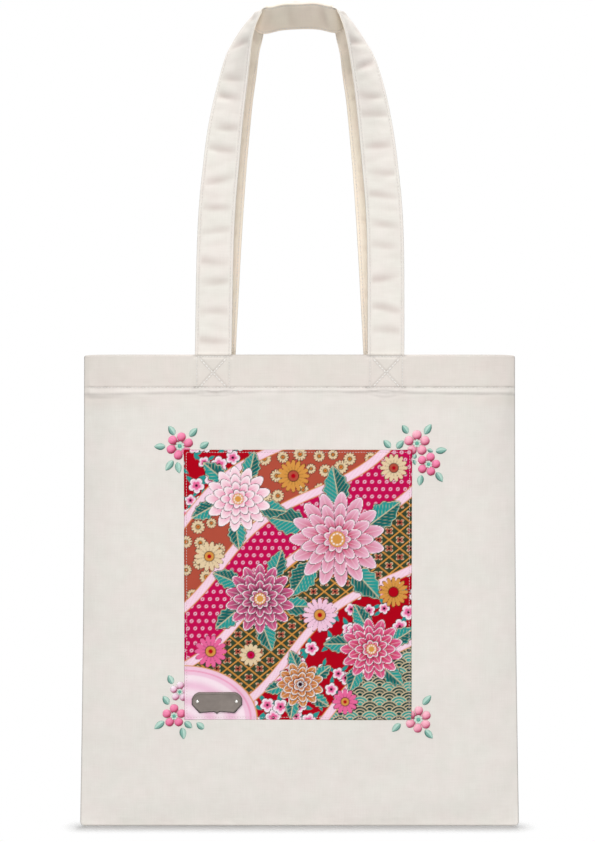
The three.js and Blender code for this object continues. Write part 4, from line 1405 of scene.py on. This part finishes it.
def add_leaf(parts, spot, turn, length, width, seed, pale=0.0):
    """Threads slant from the middle vein to the edges; the half that faces down is painted darker, as shade.
    """
    random = np.random.default_rng(seed)
    share = np.linspace(0.02, 0.98, 80)[:, None]
    side = np.linspace(-1, 1, 33)[None, :]
    half = width / 2 * np.sin(math.pi * share**0.85) ** 0.75
    along = length * (share - 0.5)
    dome = np.sin(math.pi * share) ** 0.5 * (1 - side**2) ** 0.5
    slant = along + 0.8 * np.abs(side) * half
    strand = np.abs(np.sin(math.pi * slant / (0.62 * MM)))
    vein = bell(side, 0.13) * np.clip(1.15 - share, 0, 1)
    high = SATIN_HEIGHT * 0.92 * dome * (0.92 + 0.08 * strand) - 0.28 * MM * vein * dome
    # Painted shade: the half that faces down is darker, and both halves darken towards their edges, that
    # half most; the leaf is also darker along its vein, while strand and the random term are the thread's
    # own tone
    lower = side * math.cos(math.radians(turn)) < 0
    shade = 1.10 + 0.06 * strand - 0.40 * lower - 0.36 * vein + 0.04 * random.normal()
    shade = shade - np.where(lower, 0.55, 0.16) * np.clip((np.abs(side) - 0.3) / 0.7, 0, 1)
    cloth = np.stack([slant, side * half, 0 * slant + seed], axis=-1)
    tint = np.clip(shade, 0.22, 1.2)[..., None] ** LEAF_DEPTH
    tint = tint + pale * (1.25 - tint)
    add_satin(parts, spot, turn, along + 0 * side, half * side, high, cloth, tint)


def add_centre(parts, spot, radius, turn):
    """A ring of pale knots round a small green heart."""
    knots = 7
    for k in range(knots):
        middle = spot + 0.68 * radius * heading(turn + 2 * math.pi * k / knots)
        add_knot(parts, middle, 0.36 * radius, 1.5 * MM, (1.25, 1.08, 1.08))
    add_knot(parts, spot, 0.52 * radius, 1.7 * MM, (0.24, 0.60, 0.52))


def add_knot(parts, spot, radius, height, tint):
    """A small round knot, wound a little unevenly."""
    rise = np.linspace(0, 0.92 * math.pi / 2, 6)[:, None]
    arc = np.linspace(0, 2 * math.pi, 16, endpoint=False)[None, :]
    out = radius * np.cos(rise) * (1 + 0.10 * np.sin(3 * arc + 2 * rise))
    u = spot[0] + out * np.cos(arc)
    v = spot[1] + out * np.sin(arc)
    n = drape(WALLS["front"], u, v) + 0.1 * MM + height * np.sin(rise)
    cloth = np.stack([out * arc, 0 * out + rise * radius, 0 * out], axis=-1).reshape(-1, 3)
    colour = np.repeat(np.array([tint]), u.size, axis=0)
    parts.add(on_wall(-1, u, v, n).reshape(-1, 3), tube_faces(*u.shape), cloth, colour)


def add_embroidery():
    """Each flower is a piece of petals and a piece of knots, and each leaf is one piece."""
    for c, (name, corner) in enumerate(CORNERS.items()):
        for k, (du, dv, ring, petals, turn, colour) in enumerate(corner["flowers"], 1):
            spot = corner_spot(corner, du, dv)
            flower, centre = Parts(), Parts()
            for petal in range(petals):
                seed = 100 * c + 20 * k + petal
                add_petal(flower, spot, turn + 360 * petal / petals, ring * MM, petals, seed)
            add_centre(centre, spot, CENTRE_SHARE * ring * MM, math.radians(turn))
            petal_piece = flower.piece(f"{name}_{k}_petals", FLOWER_THREADS[colour])
            finish_on_front(petal_piece, f"{colour}_thread", f"flower_{name}_{k}")
            knot_piece = centre.piece(f"{name}_{k}_knots", CENTRE_THREAD)
            finish_on_front(knot_piece, "centre_thread", f"flower_{name}_{k}_centre")
        for k, (du, dv, turn, length) in enumerate(corner["leaves"], 1):
            leaf = Parts()
            pale = PALE_LEAVES.get(f"{name}_{k}", 0.0)
            spot = corner_spot(corner, du, dv)
            add_leaf(leaf, spot, turn, length * MM, LEAF_WIDTH, LEAF_SEED + 20 * c + k, pale)
            for du, dv, turn, length, width in SMALL_LEAVES.get(f"{name}_{k}", []):
                small = corner_spot(corner, du, dv)
                add_leaf(leaf, small, turn, length * MM, width * MM, SMALL_LEAF_SEED + turn % 90)
            finish_on_front(leaf.piece(f"{name}_{k}_leaf", LEAF_THREAD), "leaf_thread", f"leaf_{name}_{k}")


def finish_on_front(piece, slot, *nodes):
    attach(piece, "front_wall")
    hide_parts(*nodes)


# Metal label with two rivets
PLATE_WIDTH = 0.044
PLATE_HEIGHT = 0.019
PLATE_THICKNESS = 0.001
PLATE_LEFT = 0.0065
PLATE_RAISE = 0.0055
PLATE_CUT = (0.006, 0.006)
PLATE_HEEL = (0.0066, 0.0073)
PLATE_POINT = (0.003, 0.0018)
PLATE_HOLLOW = 0.0011
RIVET_INSET = 0.005
RIVET_RAISE = 0.0015
RIVET_RADIUS = 0.0017
RIVET_HEIGHT = 0.0008


STREAK_SCALE = (60, 400, 5200)
BLOOM_SCALE = 160.0


def pewter_material(name, colour, roughness, metal):
    """Brushed metal: fine streaks along the label, and a soft dull bloom."""
    material, tree, shader = new_material(name)
    place = node(tree, "TexCoord").outputs["Object"]
    streak = noise(tree, scaled(tree, place, STREAK_SCALE), 3.0)
    field = weighed(tree, streak, noise(tree, place, 3.0, BLOOM_SCALE))
    base = linear(colour)
    share = spread(tree, field, 0.35, 0.65)
    finish = {
        "Base Color": tinted(tree, blend_colour(tree, share, (*(base * 0.86), 1), (*(base * 1.12), 1))),
        "Normal": relief_of(tree, streak, 0.15, 0.03 * MM),
        "Roughness": spread(tree, field, 0.3, 0.7, roughness + 0.08, roughness - 0.06),
        "Metallic": metal,
    }
    feed(tree, shader, finish)
    return material


PEWTER = pewter_material("brushed_pewter", (112, 103, 97), 0.50, 0.30)
BRIGHT_METAL = pewter_material("bright_rivet", (214, 210, 204), 0.30, 0.6)


def plate_outline():
    """The label's outline about its middle: round upper corners, cut lower ones and a small point below."""
    right, top = PLATE_WIDTH / 2, PLATE_HEIGHT / 2
    shoulder = PLATE_POINT[1] - top
    heel = shoulder - PLATE_HOLLOW
    share = np.linspace(0, 1, 7)
    bend = 2 * share * (1 - share)
    point_u = PLATE_POINT[0] * (bend / 2 + share**2)
    point_v = -top + PLATE_POINT[1] * (0.8 * bend + share**2)
    half = list(zip(point_u, point_v))
    half += [(right - PLATE_HEEL[0], heel), (right, heel + PLATE_HEEL[1])]
    corner_u = right - PLATE_CUT[0] * (bend / 4 + share**2)
    corner_v = top - PLATE_CUT[1] * (bend / 4 + (1 - share) ** 2)
    half += list(zip(corner_u, corner_v))
    return half + [(-u, v) for u, v in half[:0:-1]]


def label_middle():
    u = PATCH_SHIFT - PATCH_WIDTH / 2 + PLATE_LEFT + PLATE_WIDTH / 2
    return np.array([u, PATCH_BASE + PLATE_RAISE + PLATE_HEIGHT / 2])


def label_seat():
    """Height of the label's back: the patch under it, at its highest."""
    middle = label_middle()
    u, v = np.meshgrid(np.linspace(-1, 1, 15) * PLATE_WIDTH / 2, np.linspace(-1, 1, 9) * PLATE_HEIGHT / 2)
    u, v = u + middle[0], v + middle[1]
    return float((drape(WALLS["front"], u, v) + patch_lift(u, v)).max())


# Rings of the plate, from its back edge over the rolled rim to its face: inset in mm, height and tint. The
# tints paint shade on the outer edge and just inside the rim, and a highlight on the rim's crest
PLATE_RINGS = [
    (0, 0, 0.34),
    (0, 0.55, 0.34),
    (0.6, 0.86, 0.40),
    (0.95, 1.0, 0.66),
    (1.3, 0.98, 1.05),
    (1.6, 0.80, 0.85),
    (2.0, 0.78, 1.0),
    (5.0, 0.78, 1.0),
]
# Rings of a rivet's head: shares of its radius and height
STUD_RINGS = [
    (0.86, 0.0),
    (1.0, 0.25),
    (1.0, 0.45),
    (0.93, 0.62),
    (0.80, 0.70),
    (0.62, 0.86),
    (0.36, 0.97),
    (0.12, 1.0),
]
# How far in from the edge, in mm, that painted light and shade reach
RIM = 1.9


def add_label():
    """A pressed plate with a painted highlight along its upper rim and painted shade along its lower one,
    with its rivets.
    """
    middle, seat = label_middle(), label_seat() - 0.1 * MM
    outline = np.array(plate_outline())
    half = np.array([PLATE_WIDTH, PLATE_HEIGHT]) / 2
    points, tints = [], []
    for inset, height, tint in PLATE_RINGS:
        ring = outline * (1 - inset * MM / half) + middle
        points.append(on_wall(-1, ring[:, 0], ring[:, 1], seat + height * PLATE_THICKNESS))
        # Painted light: near the edge the rings are lighter towards the plate's top and darker towards its
        # bottom
        lit = np.clip(outline[:, 1] / half[1], -1, 1) * max(0, RIM - inset) / RIM
        lower, upper = np.minimum(lit, 0), np.maximum(lit, 0)
        tints.append(grey(tint * (1 + 0.80 * lower) + (1.25 - tint) * upper))
    faces = tube_faces(len(PLATE_RINGS), len(outline))
    tints = np.concatenate(tints)
    plate = add_piece("label_metal", np.concatenate(points), faces, PEWTER, np.zeros((len(tints), 3)), tints)
    finish_on_front(plate, "pewter", "label_plate")
    for name, side in (("left", -1), ("right", 1)):
        spot = middle + np.array([side * (PLATE_WIDTH / 2 - RIVET_INSET), RIVET_RAISE])
        stud = Parts()
        add_stud(stud, spot, seat + 0.5 * PLATE_THICKNESS)
        finish_on_front(stud.piece(f"label_stud_{name}", BRIGHT_METAL), "pewter", f"label_rivet_{name}")


def add_stud(parts, spot, seat):
    """A domed rivet head, with its rolled rim painted dark as shade."""
    arc = np.linspace(0, 2 * math.pi, 28, endpoint=False)[None, :]
    profile = np.array(STUD_RINGS)
    out = profile[:, :1] * RIVET_RADIUS
    up = profile[:, 1:] * (RIVET_HEIGHT + 0.3 * MM)
    u = spot[0] + out * np.cos(arc)
    v = spot[1] + out * np.sin(arc)
    tint = np.repeat(np.where(out > 0.7 * RIVET_RADIUS, 0.35, 1.0), arc.size, axis=1)
    points = on_wall(-1, u, v, seat + up + 0 * arc).reshape(-1, 3)
    parts.add(points, tube_faces(*u.shape), tint=grey(tint).reshape(-1, 3))


def across_the_mouth(piece):
    """Bakes the piece's placement into its points."""
    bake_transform(piece)


def over_the_hem(piece, name):
    """Bakes the strap's placement into its points. The points low and high, just under and over the mouth on
    the strap's middle, are worked out but not used.
    """
    side = WALLS[name]["side"]
    low = on_wall(side, 0.0, BAG_HEIGHT - 2 * MM, STRAP_MIDDLE)
    high = on_wall(side, 0.0, BAG_HEIGHT + 7 * MM, STRAP_MIDDLE)
    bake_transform(piece)


for name, wall in WALLS.items():
    canvas = add_wall(name, wall)
    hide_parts(f"{name}_panel", f"{name}_hem")
    across_the_mouth(canvas)
    hem_thread = add_hem_stitches(name, wall)
    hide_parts(f"{name}_hem_stitch")
    across_the_mouth(hem_thread)
    strap = add_strap(name, wall)
    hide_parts(f"{name}_handle", f"{name}_handle_end_left", f"{name}_handle_end_right")
    over_the_hem(strap, name)
    for line_name, sign in (("inner", 1), ("outer", -1)):
        thread = add_strap_stitches(name, wall, line_name, sign)
        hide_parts(f"{name}_handle_{line_name}_stitch")
        over_the_hem(thread, name)

patch = add_patch()
finish_on_front(patch, "printed_cotton", "print_patch")
finish_on_front(add_patch_stitches(), "thread", "patch_stitch")
add_embroidery()
add_label()

SEAM_TOP = BOTTOM_SEAM_START + BOTTOM_SEAM_WIDTH
SEAM_END = 12 * MM
SIDE_ROWS = (SEAM_TOP, HEM_BOTTOM)


def bottom_reach(v):
    return SEAM_END - half_width(v), half_width(v) - SEAM_END


def plus_side_reach(v):
    return half_width(v) - 2 * SEAM_WIDTH, half_width(v) - SEAM_WIDTH


def minus_side_reach(v):
    return SEAM_WIDTH - half_width(v), 2 * SEAM_WIDTH - half_width(v)


# The two side strips lie on each other's sides: the solid named left is at -u, the one named right at +u
SEAMS = {
    "bottom_seam": (bottom_reach, (BOTTOM_SEAM_START, SEAM_TOP)),
    "left_side_seam": (plus_side_reach, SIDE_ROWS),
    "right_side_seam": (minus_side_reach, SIDE_ROWS),
}
for name, (reach, rows) in SEAMS.items():
    seam = add_seam(f"{name}_canvas", reach, rows)
    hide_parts(name)
    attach(seam, "back_wall")


# Camera, light and floor
CAMERA_DISTANCE = 1.211
CAMERA_AT = (-0.0018, 0.3553)
LENS = 59.0
SENSOR_WIDTH = 36.0
# A lamp: its name, power, size and place, measured from under the middle of the bag
LAMPS = [
    ("key", 57.0, 1.5, (-0.3, -3.2, 2.6)),
    ("fill", 40.0, 1.5, (0.15, -3.2, 0.1)),
    ("overhead", 71.0, 0.30, (0, 0.03, 4.0)),
    ("back", 20.0, 1.2, (0.5, 1.6, 1.0)),
]
LAMP_TARGET = (0, 0, BOTTOM + 0.3)
SURROUND_LIGHT = 0.36
FLOOR_GREY = 0.69
FLOOR_FADE = 0.023
FLOOR_SIZE = 3.0
FLOOR_DROP = 0.5 * MM


def add_camera():
    camera = bpy.data.cameras.new("camera")
    camera.lens = LENS
    camera.sensor_width = SENSOR_WIDTH
    holder = bpy.data.objects.new("camera", camera)
    holder.location = (CAMERA_AT[0], -CAMERA_DISTANCE, BOTTOM + CAMERA_AT[1])
    holder.rotation_euler = (math.pi / 2, 0, 0)
    bpy.context.scene.collection.objects.link(holder)
    bpy.context.scene.camera = holder


def add_lamp(name, power, size, location):
    lamp = bpy.data.lights.new(name, "AREA")
    lamp.energy = power
    lamp.shape = "DISK"
    lamp.size = size
    holder = bpy.data.objects.new(name, lamp)
    holder.location = location
    aim = Vector(LAMP_TARGET) - Vector(location)
    holder.rotation_euler = aim.to_track_quat("-Z", "Y").to_euler()
    bpy.context.scene.collection.objects.link(holder)


def add_world(strength):
    """White surroundings, which shine less on the bag than they show."""
    world = bpy.data.worlds.new("studio")
    bpy.context.scene.world = world
    world.use_nodes = True
    tree = world.node_tree
    rays = node(tree, "LightPath")
    seen = calc(tree, "MAXIMUM", rays.outputs["Is Camera Ray"], rays.outputs["Is Glossy Ray"])
    seen = calc(tree, "MAXIMUM", seen, rays.outputs["Is Transmission Ray"])
    level = node(tree, "MapRange", {0: seen, 3: strength, 4: 1.0}).outputs[0]
    feed(tree, tree.nodes["Background"], {"Strength": level, "Color": (1, 1, 1, 1)})


def add_floor(size, level):
    """A pale floor that fades into the white surroundings."""
    mesh = bpy.data.meshes.new("floor")
    corners = [(-size, -size, level), (size, -size, level), (size, size, level), (-size, size, level)]
    mesh.from_pydata(corners, [], [(0, 1, 2, 3)])
    material, tree, shader = new_material("pale_floor")
    colour = (FLOOR_GREY, FLOOR_GREY, FLOOR_GREY, 1)
    feed(tree, shader, {"Base Color": colour, "Roughness": 1.0, "Specular IOR Level": 0.0})
    split = node(tree, "SeparateXYZ", {0: node(tree, "TexCoord").outputs["Object"]})
    beside = calc(tree, "SUBTRACT", calc(tree, "ABSOLUTE", split.outputs[0]), BAG_WIDTH / 2 - 4 * MM)
    beside = calc(tree, "POWER", calc(tree, "MAXIMUM", beside, 0.0), 2.0)
    before = calc(tree, "MULTIPLY", split.outputs[1], split.outputs[1])
    away = calc(tree, "SQRT", calc(tree, "ADD", beside, before))
    reach = {0: away, 1: 0.0, 2: FLOOR_FADE, 3: 0.0, 4: 1.0}
    fade = node(tree, "MapRange", reach, interpolation_type="SMOOTHSTEP")
    clear = node(tree, "BsdfTransparent")
    mixed = node(tree, "MixShader", {0: fade.outputs[0], 1: shader.outputs[0], 2: clear.outputs[0]})
    feed(tree, tree.nodes["Material Output"], {"Surface": mixed.outputs[0]})
    mesh.materials.append(material)
    floor = bpy.data.objects.new("floor", mesh)
    bpy.context.scene.collection.objects.link(floor)


bpy.context.scene.view_settings.view_transform = "Standard"
add_camera()
add_world(SURROUND_LIGHT)
for name, power, size, (x, y, height) in LAMPS:
    add_lamp(name, power, size, (x, y, BOTTOM + height))
add_floor(FLOOR_SIZE, BOTTOM - FLOOR_DROP)
